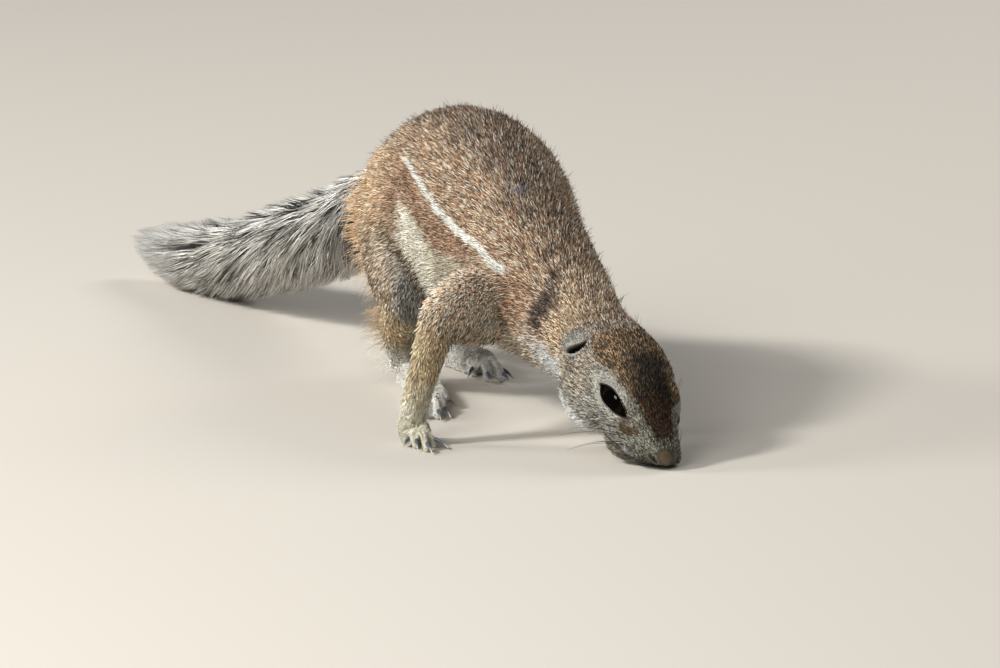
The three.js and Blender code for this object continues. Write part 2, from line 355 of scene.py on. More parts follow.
part_at = nearest_part(skin_data)
families = sorted({family(node) for node in flesh})
family_of_part = np.array([families.index(family(node)) for node in flesh])
family_at = family_of_part[part_at]
HEAD_PARTS = "head", "nose", "eye", "ear"
TAIL_PARTS = "tail_root", "tail_middle", "tail_end"


def numbers(names):
    """The numbers of these parts among the families."""
    return [families.index(name) for name in names]


is_head = np.isin(family_at, numbers(HEAD_PARTS))
is_foot = np.isin(family_at, numbers(("forefoot", "hindfoot")))
is_tail = np.isin(family_at, numbers(TAIL_PARTS))
points = spread(points, ends, np.where(is_foot, 0.1, 0.4), 4)
share_of = spread(np.eye(len(families))[family_at], ends, 0.5, 16)
share_of /= share_of.sum(axis=1, keepdims=True)


def of(*names):
    """How far each point belongs to these parts of the body."""
    return share_of[:, numbers(names)].sum(axis=1)


coat = share_of @ np.array([COAT[name] for name in families], float)
NEXT = {"head": "neck", "neck": "chest", "chest": "belly", "belly": "rump", "rump": "tail_root",
        "tail_root": "tail_middle", "tail_middle": "tail_end", "tail_end": None,
        "upper_arm": "forearm", "forearm": "forefoot", "forefoot": "fore_claw",
        "thigh": "shank", "shank": "hindfoot", "hindfoot": "hind_claw"}


def lie_of(node):
    """The way the hair lies on a part: towards the next part down the body or the limb."""
    kind = family(node)
    side = node[len(kind):]
    if kind in ("nose", "eye", "ear"):
        return -HEAD_AHEAD
    follower = NEXT[kind]
    if follower is None:
        return centre("tail_end") - centre("tail_middle")
    if "claw" in follower:
        follower = follower + side + "_3"
        side = ""
    return centre(follower + side) - centre(node)


shore = points.copy()
normals = outward(points)
lies = unit(np.array([lie_of(node) for node in flesh]))[part_at]
lies = spread(lies, ends, 0.5, LIE_BLENDING)

# The tail has a thin core: its outline is all hair.
CORE = 0.34
CORE_END = 44.0
CORE_SQUEEZE = 0.58
tail_way = unit((centre("tail_end") - centre("tail_root"))[None])[0]
tail_start = centre("tail_root")
tail_across = unit(np.cross(tail_way, [0, 0, 1])[None])[0]
tail_up = np.cross(tail_across, tail_way)
tail_axes = np.stack([tail_way, tail_across, tail_up])
tail_share = of(*TAIL_PARTS)
tail_local = (shore - tail_start) @ tail_axes.T
tail_points = tail_local[is_tail]
tail_far = tail_points[:, 0]
stops = np.linspace(tail_far.min(), tail_far.max(), 26)
bins = [tail_points[(tail_far >= a) & (tail_far < b)] for a, b in zip(stops, stops[1:])]
bin_at = (stops[1:] + stops[:-1]) / 2
middles = np.array([(inside.max(axis=0) + inside.min(axis=0)) / 2 for inside in bins])
widths = np.array([(inside.max(axis=0) - inside.min(axis=0)) / 2 for inside in bins])
tail_bends = [np.polyfit(bin_at, middles[:, k], 4) for k in (1, 2)]
tail_from, tail_to = stops[0], stops[-1]


def tail_axis(along):
    """The middle line of the tail, at distances along it."""
    return np.stack([along, *(np.polyval(bend, along) for bend in tail_bends)], axis=1)


axis = tail_axis(tail_local[:, 0])
slim = 1 - (1 - CORE) * ramp(tail_local[:, 0], tail_from + 4, tail_from + 36)
cored = axis + (tail_local - axis) * slim[:, None]
past = np.maximum(cored[:, 0] - (tail_to - CORE_END), 0)
cored[:, 0] -= past * (1 - CORE_SQUEEZE)
cored[:, 1:] += (tail_axis(cored[:, 0]) - axis)[:, 1:]
cored = cored @ tail_axes + tail_start
points = shore + (cored - shore) * tail_share[:, None]

local = on_head(shore)
near_muzzle = ramp(local[:, 0], -22, -8) * is_head
depth = coat[:, 0] * (1 - 0.65 * near_muzzle) + BRIDGE / MM
sole = is_foot * (1 - ramp(shore[:, 2], 0.5, 2.5)) * ramp(-normals[:, 2], 0.2, 0.7)
points = points - normals * (depth * (1 - sole))[:, None]

# Eyelids, ears, nostrils and lips are pressed into the head, in the head's own measures.
EYE_LONG, EYE_HIGH, EYE_BOW = 8.1, 2.4, 0.45
EYEBALL = np.array([8.4, 5.6, 4.6])
EYE_DEEP = 3.5
EYE_CORNER = 1.1
LID = 0.35
EAR_LONG, EAR_WIDE = 4.3, 1.25


def frame_at(place, along, out, side):
    """Axes at a place on one side of the head, as rows: along, across and out. And the place itself."""
    flip = np.array([1, side, 1])
    along = unit((np.array(along) * flip)[None])[0]
    out = np.array(out) * flip
    out = unit((out - along * (out @ along))[None])[0]
    return np.stack([along, np.cross(along, out), out]), np.array(place) * flip


def eye_frame(side):
    """The eye opening: towards its rear corner, up across it, and out."""
    axes, place = frame_at((-23.6, 10.6, 2.4), (-15.9, 4.5, 2.2), (0.28, 0.93, 0.22), side)
    axes[1] *= 1 if axes[1, 2] > 0 else -1
    return axes, place


def ear_frame(side):
    """The ear's small flap: up along it, back across it, and out."""
    axes, place = frame_at((-50.7, 14.6, 5.8), (2.2, -1.6, 6.2), (0.28, 0.9, 0.3), side)
    axes[1] *= 1 if axes[1, 0] < 0 else -1
    return axes, place


def lid_shape(along):
    """How far the almond of the lids still opens at a distance along it."""
    return np.maximum(1 - (along / EYE_LONG) ** 2, -0.6)


def lid_ring(q):
    """Where points in the eye's own axes are: below 1 within the lids, above 1 outside them."""
    across = np.abs(q[:, 1] - EYE_BOW * lid_shape(q[:, 0]))
    return (q[:, 0] / EYE_LONG) ** 2 + across / EYE_HIGH


def ball_height(along, across):
    """How far the eyeball stands out from the plane of the lids."""
    rest = 1 - (along / EYEBALL[0]) ** 2 - (across / EYEBALL[1]) ** 2
    return EYEBALL[2] * np.sqrt(np.maximum(rest, 0)) - EYE_DEEP


def ear_ring(q):
    """In the ear's own axes: how far from its middle, outside its opening, and behind its flap's edge."""
    far = np.hypot(q[:, 0], q[:, 1] + 1)
    along = (q[:, 0] + 0.2) / EAR_LONG
    within = np.maximum(1 - along ** 2, 0)
    bow = -0.6 - (1.75 + 1.3 * along.clip(-1, 1)) * within ** 0.35
    half = EAR_WIDE * np.sqrt(within)
    outside = np.maximum(np.abs(q[:, 1] - bow) - half, EAR_LONG * (np.abs(along) - 1))
    return far, outside, q[:, 1] - bow - half


head_points = on_head(points)
head_out = normals @ HEAD_AXES.T
for side in (-1, 1):
    axes, place = eye_frame(side)
    q = (head_points - place) @ axes.T
    close = (np.abs(q[:, 2]) < 6) & (head_points[:, 1] * side > 2) & is_head
    g = lid_ring(q)
    high = ball_height(q[:, 0], q[:, 1])
    inside = np.maximum(high - 0.4, -EYE_CORNER)
    rim = np.maximum(high, -0.9) + LID
    target = inside + (rim - inside) * ramp(g, 0.93, 1.10)
    pull = (1 - ramp(g, 1.35, 2.6)) * close
    q[:, 2] += pull * (target - q[:, 2])
    above = (q[:, 1] - 4.4 + 0.035 * q[:, 0] ** 2) / 1.3
    q[:, 2] += 0.5 * np.exp(-above ** 2 - ((q[:, 0] - 0.5) / 6.0) ** 2) * close
    crease = (q[:, 1] + 3.7 - 0.03 * q[:, 0] ** 2) / 0.6
    q[:, 2] -= 0.3 * np.exp(-crease ** 2 - (q[:, 0] / 5.0) ** 2) * close
    head_points = np.where(close[:, None], q @ axes + place, head_points)

by_ear = np.zeros(count, bool)
for side in (-1, 1):
    axes, place = ear_frame(side)
    q = (head_points - place) @ axes.T
    close = (np.abs(q[:, 2]) < 7) & (head_points[:, 1] * side > 4) & (of("head", "ear", "neck") > 0.5)
    far, outside, behind = ear_ring(q)
    qx, qy = q[:, 0], q[:, 1]
    terms = np.column_stack([np.ones(count), qx, qy, qx ** 2, qy ** 2, qx * qy])
    by_ear |= close & (far < 9.5)
    round_it = close & (far > 7.0) & (far < 10.0)
    plain = terms @ np.linalg.lstsq(terms[round_it], q[round_it, 2], rcond=None)[0]
    lobe = ramp(behind, -0.25, 0.15) * (1 - ramp(behind, 0.8, 4.6))
    lobe *= 1 - ramp(np.abs(q[:, 0] - 0.2), 2.6, 5.4)
    rim = 0.45 * np.exp(-((outside - 0.6) / 0.55) ** 2) * (behind < 0)
    target = plain + 1.3 * lobe + rim - 2.8 * (1 - ramp(outside, -0.9, 0.15))
    q[:, 2] += (1 - ramp(far, 6.2, 9.2)) * close * (target - q[:, 2])
    head_points = np.where(close[:, None], q @ axes + place, head_points)


def nostril_ring(local):
    """Where points of the head are about the nostril on their side: below 1 within it."""
    x, y, z = local.T
    comma = np.hypot((x + 1.6 + 0.55 * (z + 3.1)) / 0.8, (z + 3.1) / 1.15)
    return np.where((np.abs(y) > 1.2) & (x > -5), comma, 9.0)


def nose_ring(local):
    """Where points of the head are about the bare nose: below 1 on it."""
    x, y, z = local.T
    return np.sqrt(((x + 1.0) / 2.6) ** 2 + (y / 3.0) ** 2 + ((z + 1.8) / 3.0) ** 2)


def mouth_line(x):
    """How high the lips meet, at distances ahead of the nose's tip."""
    return -5.3 - 1.9 * ramp(-x, 2, 12)


x, y, z = head_points.T
on_nose = is_head & (x > -7)
comma = nostril_ring(head_points)
dent = 1.1 * (1 - ramp(comma, 0.35, 1.2)) * on_nose
wing = 0.28 * np.exp(-((comma - 1.75) / 0.5) ** 2) * on_nose
bulb_edge = -4.3 - 0.35 * (z + 2)
groove = 0.32 * np.exp(-((x - bulb_edge) / 0.55) ** 2) * (1 - ramp(z, -1.5, 1.0)) * on_nose
cleft = 0.4 * np.exp(-(y / 0.35) ** 2) * ramp(x, -5, -3) * ramp(-z, 3.2, 4.2)
mouth = 0.75 * np.exp(-((z - mouth_line(x)) / 0.42) ** 2) * ramp(x, -17, -13) * (z < -3)
jaw = 0.5 * ramp(mouth_line(x) - z, 0, 1.0) * ramp(x, -17, -9)
pressed = (wing - dent - groove - cleft - mouth - jaw) * is_head
head_points += head_out * pressed[:, None]
points = np.where((is_head | by_ear)[:, None], head_points @ HEAD_AXES + HEAD_TIP, points)

# Creases part the thigh and the upper arm from the trunk.
thigh_crease = ramp(4 * of("thigh") * of("belly"), 0.35, 1.0) * ramp(-points[:, 2], -62, -52)
arm_crease = ramp(4 * of("upper_arm") * of("chest", "belly"), 0.35, 1.0) * ramp(-points[:, 2], -62, -50)
crease = np.clip(thigh_crease + 0.7 * arm_crease, 0, 1)
points -= normals * (1.2 * crease)[:, None]

# Toes are parted by clefts that run back between the claws.
TOE_REACH = 12.5
CLEFT = 1.2
toe_part = np.zeros(count)
cleft_part = np.zeros(count)


def claws_of(kind, side):
    """The nodes of one foot's claws, from the inner toe out."""
    return sorted(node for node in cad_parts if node.startswith(kind + "_claw_" + side))


for kind in ("fore", "hind"):
    for side in ("right", "left"):
        foot = kind + "foot_" + side
        on_foot = part_at == flesh.index(foot)
        claws = claws_of(kind, side)
        ball_of_foot = np.mean([centre(node)[:2] for node in claws[1:-1]], axis=0)
        heel = centre(foot)[:2]
        hub = heel + (ball_of_foot - heel) * (0.1 if kind == "fore" else 0.45)
        gaps = []
        for node in claws:
            toe = centre(node)[:2] - hub
            reach_of = np.linalg.norm(toe)
            toe /= reach_of
            rel = points[:, :2] - hub
            along = np.clip(rel @ toe, reach_of - TOE_REACH, reach_of + 6)
            gaps.append(np.linalg.norm(rel - along[:, None] * toe, axis=1))
            tip_near = np.linalg.norm(points[:, :2] - centre(node)[:2], axis=1)
            toe_part = np.maximum(toe_part, (1 - ramp(tip_near, 4.0, 8.0)) * on_foot)
        gaps = np.sort(np.array(gaps), axis=0)
        between = 1 - ramp(gaps[1] - gaps[0], 0.3, 1.7)
        cleft_part = np.maximum(cleft_part, between * on_foot * toe_part)
points -= normals * (CLEFT * cleft_part * ramp(normals[:, 2], -0.2, 0.4))[:, None]
points[:, 2] = np.maximum(points[:, 2], 0.05)
normals = outward(points)

skin_data.vertices.foreach_set("co", (points * MM).ravel())
skin_data.shade_smooth()
skin_data.update()

# Markings
# One plan of the colours of the whole coat, which both the hide and the hair on it take. Each
# paint is the hair's main colour, its pale and its dark ticks, and the share that has each. Some
# paints are painted shade rather than the hair's own colour: in the neck's folds and the thigh's
# crease, in the ear's opening, the nostrils and the mouth line, under the jaw, on the nose's bridge
# and forehead, and partly along the top of the back. The rear of the haunch is partly painted light.
TINTS = {
    "back": ("a78464", "d4ceb8", "3c2f28", 0.30, 0.30),
    "ridge": ("6c594a", "989388", "231c1a", 0.24, 0.38),
    "worn": ("8a8588", "aaa6a8", "4a4548", 0.20, 0.30),
    "stripe": ("d4d3c7", "dee1de", "b5ae97", 0.45, 0.12),
    "band": ("997659", "c6b299", "3d2d24", 0.24, 0.30),
    "belly": ("cdc5af", "e2e1d8", "988f76", 0.40, 0.16),
    "belly_front": ("aba288", "beb8a9", "7e745b", 0.36, 0.20),
    "thigh": ("a9947c", "ddd1b9", "483f36", 0.34, 0.28),
    "thigh_low": ("b19b81", "dacebc", "50453c", 0.34, 0.24),
    "thigh_front": ("838179", "a2a29a", "4f4c44", 0.36, 0.22),
    "thigh_rear": ("e7c297", "f7e2bf", "9e7c59", 0.30, 0.16),
    "shoulder": ("f1d1af", "d2dbd2", "403024", 0.32, 0.30),
    "parting": ("6d6250", "a89a80", "2c251c", 0.20, 0.36),
    "shank": ("c9ac82", "d1d0b1", "876745", 0.28, 0.12),
    "forearm": ("d7ba8f", "dfdfc2", "50402d", 0.30, 0.26),
    "paw": ("eae3c9", "f1f1e9", "a69973", 0.34, 0.20),
    "hindfoot": ("f1ede2", "fdfbf5", "b3a88e", 0.40, 0.14),
    "neck": ("d3b490", "f8ebd1", "362a20", 0.36, 0.30),
    "nape": ("bc9f88", "fcecd3", "463a34", 0.24, 0.34),
    "throat": ("d9dcd9", "f8fbfa", "a3a197", 0.36, 0.10),
    "crown": ("6d5c46", "d2ac7e", "19140f", 0.20, 0.50),
    "forehead": ("16110d", "3f3122", "060504", 0.16, 0.50),
    "bridge": ("23180d", "6f4c28", "080504", 0.32, 0.34),
    "brow": ("a49f93", "cdc8bd", "6d665c", 0.42, 0.16),
    "temple": ("827666", "d3c8b2", "221d1c", 0.36, 0.30),
    "cheek": ("898275", "b8b5aa", "3a362f", 0.36, 0.26),
    "undereye": ("b4b1a2", "ecebd9", "6d6a5f", 0.30, 0.16),
    "snout": ("605c4c", "a9a997", "211e17", 0.38, 0.30),
    "lip": ("91918f", "babbbf", "625f5c", 0.30, 0.24),
    "chin": ("675f4f", "9d9580", "342d24", 0.26, 0.30),
    "ochre": ("4a3110", "6b4b1c", "1b1209", 0.24, 0.40),
    "nose": ("5e4f3a", "766750", "3a2e1e", 0.26, 0.24),
    "ear_rim": ("939289", "cbcdc8", "3f3830", 0.32, 0.26),
    "ear_edge": ("c4baa9", "e4ddce", "9a8e7c", 0.34, 0.06),
    "ear_slit": ("1a130e", "2a211b", "0d0a08", 0.10, 0.30),
    "lid": ("0b0908", "14100e", "060505", 0.10, 0.20),
    "tail": ("9c9b98", "fcfcfc", "2f2b29", 0.42, 0.34),
    "nostril": ("1d140e", "2b1d16", "120c08", 0.10, 0.20),
}
tints = {name: np.concatenate([linear(main), linear(pale), linear(dark), [pale_share, dark_share]])
         for name, (main, pale, dark, pale_share, dark_share) in TINTS.items()}
waves = np.random.default_rng(5).normal(size=(9, 4))
waves[:, :3] = unit(waves[:, :3])


def mottle(place, size):
    """A smooth unevenness over the body, about -1 to 1, with patches of a size in mm."""
    total = np.zeros(len(place))
    for k, (a, b, c, phase) in enumerate(waves):
        reach = size * (0.6 + 0.11 * k)
        total += np.sin((place[:, 0] * a + place[:, 1] * b + place[:, 2] * c) * math.tau / reach + phase * 7)
    return total / 3


BODY_AT = 3.0
STRIPE_FROM, STRIPE_TO = 28.8, 111.0
STRIPE_HIGH, STRIPE_FALL = 71.6, 0.268
STRIPE_WAVER = [45, 60, 68, 76, 84, 94, 104], [0.3, -0.7, -1.2, -0.6, -0.6, 0.6, -0.9]
STRIPE_HALF = [0, 0.5, 0.8, 1], [0.75, 0.95, 1.15, 1.0]
WORN = [  # middle, width and strength of each worn spot
    ((92, 3, 69), 2.2, 0.8),
    ((89.1, 4.7, 72.2), 1.5, 0.7),
    ((59.2, 0, 79.3), 1.4, 0.6),
    ((42.4, 12.4, 84.1), 1.4, 0.6),
]
# Painted shade lies along each of these folds, darkest in its crease.
FOLDS = [  # start, end and width of each fold of the neck's skin
    ((100.6, 14.0, 65.8), (107.4, 13.2, 62.5), 1.8),
    ((116.6, 6.6, 57.8), (120.2, 1.6, 53.3), 1.8),
    ((123.9, 3.6, 51.7), (126.6, 0.0, 43.4), 2.2),
    ((126.6, 0.0, 43.4), (124.2, -3.5, 35.5), 3.0),
]
BELLY_AT, BELLY_LEAST = 60.0, 48.6


def eye_plan(local):
    """For each point of the head: its ring about the lids of its own eye, and how far above them it is."""
    nearest = np.full(len(local), 99.0)
    above = np.zeros(len(local))
    for side in (-1, 1):
        axes, place = eye_frame(side)
        q = (local - place) @ axes.T
        beside = (np.abs(q[:, 2]) < 7) & (local[:, 1] * side > 1)
        nearest = np.where(beside, lid_ring(q), nearest)
        above = np.where(beside, q[:, 1], above)
    return nearest, above


def ear_plan(local):
    """For each point of the head: its distance from the middle of its ear, and from the ear's opening."""
    far_out = np.full(len(local), 99.0)
    off_slit = np.full(len(local), 99.0)
    for side in (-1, 1):
        axes, place = ear_frame(side)
        q = (local - place) @ axes.T
        beside = (np.abs(q[:, 2]) < 8) & (local[:, 1] * side > 4)
        far, outside, _ = ear_ring(q)
        far_out = np.where(beside, far, far_out)
        off_slit = np.where(beside, outside, off_slit)
    return far_out, off_slit


CROWN_EDGE = [-44, -36, -29, -22, -14, -7, -3], [7.5, 6.6, 7.4, 6.7, 3.9, 1.6, 0.4]


def painted(place, out, share):
    """The coat's paint at points of the body: main, pale and dark colours, and the two shares."""
    def on(*names):
        return share[:, numbers(names)].sum(axis=1)

    def lay(name, mask):
        nonlocal paint
        paint = paint + (tints[name] - paint) * np.clip(mask, 0, 1)[:, None]

    paint = np.tile(tints["back"], (len(place), 1))
    body = place - [BODY_AT, 0, 0]
    x, y, z = body.T
    rough = mottle(place, 7)
    fine = mottle(place, 2.6)
    trunk = on("chest", "belly", "rump", "neck")
    # The top of the trunk is painted darker: partly its darker mid-back hair, partly painted shade.
    lay("ridge", 0.6 * ramp(out[:, 2] + 0.1 * rough, 0.72, 0.98) * trunk)
    for spot, wide, full in WORN:
        worn = np.linalg.norm((body - spot) * [1, 1, 0.8], axis=1)
        lay("worn", full * ramp(-worn + 1.1 * fine, -wide - 1.0, -wide + 0.6))
    high = STRIPE_HIGH + np.interp(x, *STRIPE_WAVER)
    above = z - (high - STRIPE_FALL * (x - STRIPE_FROM))
    belly_edge = np.maximum(BELLY_AT - 0.42 * (x - 43), BELLY_LEAST)
    sideways = ramp(np.abs(out[:, 1]), 0.25, 0.5)
    lay("band", (1 - ramp(above, -1.5, 0.5)) * sideways * trunk * ramp(x, 20, 34))
    behind_arm = 1 - ramp(x, 82, 92)
    below = 1 - ramp(z - belly_edge + 0.7 * fine, -2.0, 1.5)
    lay("belly", below * (trunk - on("neck")) * ramp(x + 0.6 * rough, 35, 46) * behind_arm)
    lay("belly_front", below * (trunk - on("neck")) * ramp(x, 55, 74) * behind_arm)
    lay("belly", (1 - ramp(out[:, 2], -0.55, -0.2)) * trunk)
    beneath = 1 - ramp(out[:, 2] + 0.1 * rough, -0.6, -0.1)
    lay("shoulder", 0.8 * on("neck", "chest") * beneath * ramp(x, 84, 96))
    along = (x - STRIPE_FROM) / (STRIPE_TO - STRIPE_FROM)
    half = np.interp(along, *STRIPE_HALF)
    stripe = 1 - ramp(np.abs(above + 0.25 * rough) / half + 0.15 * fine, 0.8, 1.2)
    lay("stripe", stripe * ramp(along, 0.0, 0.1) * (1 - ramp(along, 0.95, 1.02)) * sideways * trunk)
    thigh = on("thigh")
    haunch = 0.45 * on("rump", "thigh") * sideways * ramp(-x + 0.8 * rough, -46, -30)
    # The rear of the haunch is buff, lightened as painted light on the side that faces the tail.
    lay("thigh_rear", haunch * ramp(-z, -76, -64))
    lay("thigh", thigh * ramp(-z, -64, -52))
    lay("thigh_low", thigh * ramp(-z + rough, -50, -38))
    lay("thigh_front", thigh * ramp(out[:, 0] + 0.1 * rough, 0.1, 0.6) * ramp(-z, -62, -52))
    rear = ramp(-out[:, 0] + 0.12 * rough, 0.1, 0.7)
    # Painted light again lightens the buff rear of the thigh.
    lay("thigh_rear", np.clip(thigh + on("rump"), 0, 1) * rear * ramp(-z, -70, -58))
    lay("shoulder", on("upper_arm"))
    lay("band", 0.75 * on("upper_arm") * ramp(z, 41, 52))
    lay("shank", on("shank"))
    lay("forearm", on("forearm"))
    inner = (1 - ramp(np.abs(y - 3), 8, 20)) * (1 - ramp(np.abs(out[:, 2]), 0.5, 0.9))
    lay("belly", 0.5 * inner * on("shank", "thigh", "upper_arm"))
    lay("paw", on("forefoot", "forearm") * ramp(-z + 1.2 * rough, -25, -7))
    lay("hindfoot", on("hindfoot"))
    lay("hindfoot", ramp(-z, -17, -9) * on("shank"))
    lay("neck", on("neck") * 0.9)
    lay("nape", on("neck", "head") * ramp(out[:, 2] + 0.1 * rough, 0.5, 0.9) * ramp(x, 108, 122))
    lay("throat", on("neck") * (1 - ramp(out[:, 2] + 0.1 * rough, -0.5, 0.0)) * ramp(x + rough, 114, 124))
    lay("tail", on(*TAIL_PARTS))
    # Painted shade darkens the crease where the thigh meets the belly.
    parting = ramp(4 * on("thigh") * on("belly"), 0.5, 1.0) * ramp(-z, -62, -54)
    lay("parting", 0.65 * parting)

    local = on_head(place)
    hx, hy, hz = local.T
    head = on(*HEAD_PARTS)
    over = hz - np.interp(hx, *CROWN_EDGE) + 0.3 * fine
    ring, above_eye = eye_plan(local)
    lay("cheek", head)
    lay("temple", head * ramp(-hx + 0.5 * rough, 33, 38) * ramp(hz + fine, -7, -3))
    lay("throat", head * (1 - ramp(hz + 0.6 * rough, -12, -8)) * (1 - ramp(hx, -24, -16)))
    lay("snout", head * ramp(hx + 0.4 * rough, -21, -15))
    lay("undereye", head * (1 - ramp(ring, 1.7, 2.6)) * (1 - ramp(above_eye, -1, 1)))
    lay("crown", head * ramp(over, 0.2, 1.4) * (1 - ramp(-hx, 44, 52)))
    # The middle of the forehead is painted near black, dark crown hair deepened into painted shade.
    central = 1 - ramp(np.abs(hy) + 0.6 * rough, 3.0, 7.5)
    lay("forehead", 0.85 * head * central * ramp(hx, -40, -30) * ramp(over, 0, 2))
    # The bridge of the nose is rufous-brown hair darkened into painted shade.
    behind_nose = head * ramp(over, 0.0, 0.9) * ramp(hx + 0.7 * rough, -23, -17)
    lay("bridge", behind_nose * (1 - ramp(hx, -6.5, -3.5)))
    brow = (1 - ramp(over, -0.3, 0.9)) * ramp(above_eye, -0.4, 0.4) * (1 - ramp(ring, 2.0, 2.9))
    lay("brow", head * brow * ramp(hx, -39, -35) * (1 - ramp(hx, -21, -16)))
    lay("brow", head * (1 - ramp(ring, 1.25, 1.7)) * 0.35)
    spot = np.hypot((hx + 14.0) / 4.6, (hz + 0.9 - 0.1 * (hx + 15)) / 2.3)
    lay("ochre", 0.85 * head * (1 - ramp(spot + 0.35 * fine, 0.4, 1.35)))
    lay("lip", head * ramp(hx, -12, -8) * (1 - ramp(hz, -5.6, -4.2)) * (hz > mouth_line(hx)))
    # Below the lips the jaw is painted dark, as painted shade under the head.
    lay("chin", head * ramp(mouth_line(hx) - hz, 0.0, 0.8) * ramp(hx, -22, -15))
    # A dark line of painted shade runs between the lips.
    lips = np.exp(-((hz - mouth_line(hx)) / 0.7) ** 2) * (hz < -3)
    lay("nostril", 0.8 * head * lips * ramp(hx, -17, -13))
    lay("nose", head * (1 - ramp(nose_ring(local) + 0.05 * fine, 0.66, 0.84)))
    far, outside = ear_plan(local)
    lay("ear_rim", (1 - ramp(far + 0.5 * fine, 3.4, 6.0)) * 0.85)
    lay("ear_edge", np.exp(-((outside - 0.5) / 0.4) ** 2) * (far < 6) * 0.6)
    # The ear's opening is painted near black, as painted shade in its hollow.
    lay("ear_slit", 1 - ramp(outside, -0.2, 0.15))
    lay("lid", head * (1 - ramp(ring, 1.08, 1.16)))
    # The nostrils are painted near black, as painted shade in their openings.
    lay("nostril", head * (1 - ramp(nostril_ring(local), 0.9, 1.35)))
    # Each fold of the neck is painted with shade: a soft darker band, and near black in its crease.
    for start, end, wide in FOLDS:
        way = np.subtract(end, start)
        t = np.clip((body - start) @ way / (way @ way), 0, 1)
        off = np.linalg.norm(body - start - t[:, None] * way, axis=1)
        lay("nape", 0.6 * (1 - ramp(off + 0.4 * fine, 0.8 * wide, 2.2 * wide)))
        lay("forehead", 0.85 * (1 - ramp(off + 0.6 * fine, 0.3 * wide, 1.6 * wide)))
    toe = on("forefoot", "hindfoot")
    tone = 1 + 0.07 * mottle(place, 11) + 0.05 * mottle(place, 5) * (1 - toe)
    paint[:, :9] *= tone[:, None]
    return paint


def store(mesh, name, colours, last=1.0):
    """Keeps a colour at each point of a mesh, and one more value with it."""
    kept = mesh.color_attributes.new(name, "FLOAT_COLOR", "POINT")
    kept.data.foreach_set("color", np.column_stack([colours, np.full(len(colours), 1.0) * last]).ravel())


HIDE_SHADE = 0.62
HIDE_ROUGHNESS = 0.62
NOSTRIL_BARE = 1.6
paint = painted(points, normals, share_of)
skin_local = on_head(points)
skin_ring, _ = eye_plan(skin_local)
_, skin_slit = ear_plan(skin_local)
skin_nose = nose_ring(skin_local)
wet = is_head * np.maximum(1 - ramp(skin_ring, 1.1, 1.2), 0.45 * (1 - ramp(skin_nose, 0.6, 0.7)))
bare_skin = (skin_ring < 1.16) | (nostril_ring(skin_local) < NOSTRIL_BARE) | (skin_nose < 0.7)
bare_skin = is_head & bare_skin | (skin_slit < 0.1)
under_hair = np.where(bare_skin, 1.0, HIDE_SHADE)
store(skin_data, "marking", paint[:, :3] * under_hair[:, None], HIDE_ROUGHNESS - 0.4 * wet)


def stored_colour(nodes, name):
    """The colour kept at a mesh's points under a name, and the value kept with it."""
    kept = nodes.new("ShaderNodeVertexColor")
    kept.layer_name = name
    return kept.outputs


grain_tree = bpy.data.node_groups.new("grain", "ShaderNodeTree")
for socket in ("Scale", "Detail", "Strength", "Distance"):
    grain_tree.interface.new_socket(socket, in_out="INPUT", socket_type="NodeSocketFloat")
grain_tree.interface.new_socket("Amount", in_out="OUTPUT", socket_type="NodeSocketFloat")
grain_tree.interface.new_socket("Normal", in_out="OUTPUT", socket_type="NodeSocketVector")
nodes, links = grain_tree.nodes, grain_tree.links
given, put_out = nodes.new("NodeGroupInput"), nodes.new("NodeGroupOutput")
place_at = nodes.new("ShaderNodeTexCoord")
noise = nodes.new("ShaderNodeTexNoise")
relief = nodes.new("ShaderNodeBump")
links.new(place_at.outputs["Object"], noise.inputs["Vector"])
links.new(noise.outputs["Fac"], relief.inputs["Height"])
for socket, node in (("Scale", noise), ("Detail", noise), ("Strength", relief), ("Distance", relief)):
    links.new(given.outputs[socket], node.inputs[socket])
links.new(noise.outputs["Fac"], put_out.inputs["Amount"])
links.new(relief.outputs["Normal"], put_out.inputs["Normal"])


def grained(nodes, scale, detail=2.0, strength=0.0, deep=0.0):
    """A fine unevenness fixed to the object, as an amount and as the relief that it gives."""
    grain = nodes.new("ShaderNodeGroup")
    grain.node_tree = grain_tree
    sockets = ("Scale", scale), ("Detail", detail), ("Strength", strength), ("Distance", deep)
    for socket, value in sockets:
        grain.inputs[socket].default_value = value
    return grain.outputs


hide, nodes, links, shader = finish("hide", HIDE_ROUGHNESS)
marking = stored_colour(nodes, "marking")
grain = grained(nodes, 2600, 3, 0.35, 0.0002)
shade = nodes.new("ShaderNodeMix")
shade.data_type = "RGBA"
shade.blend_type = "MULTIPLY"
shade.inputs["Factor"].default_value = 0.5
tone = nodes.new("ShaderNodeMapRange")
tone.inputs["From Min"].default_value = 0.3
tone.inputs["From Max"].default_value = 0.7
tone.inputs["To Min"].default_value = 0.55
tone.inputs["To Max"].default_value = 1.2
links.new(grain["Amount"], tone.inputs["Value"])
links.new(marking["Color"], shade.inputs["A"])
links.new(tone.outputs["Result"], shade.inputs["B"])
links.new(shade.outputs["Result"], shader.inputs["Base Color"])
links.new(marking["Alpha"], shader.inputs["Roughness"])
links.new(grain["Normal"], shader.inputs["Normal"])
skin_data.materials.clear()
skin_data.materials.append(hide)
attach(skin, "root")
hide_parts(*[node for node in flesh if not node.startswith("eye")])

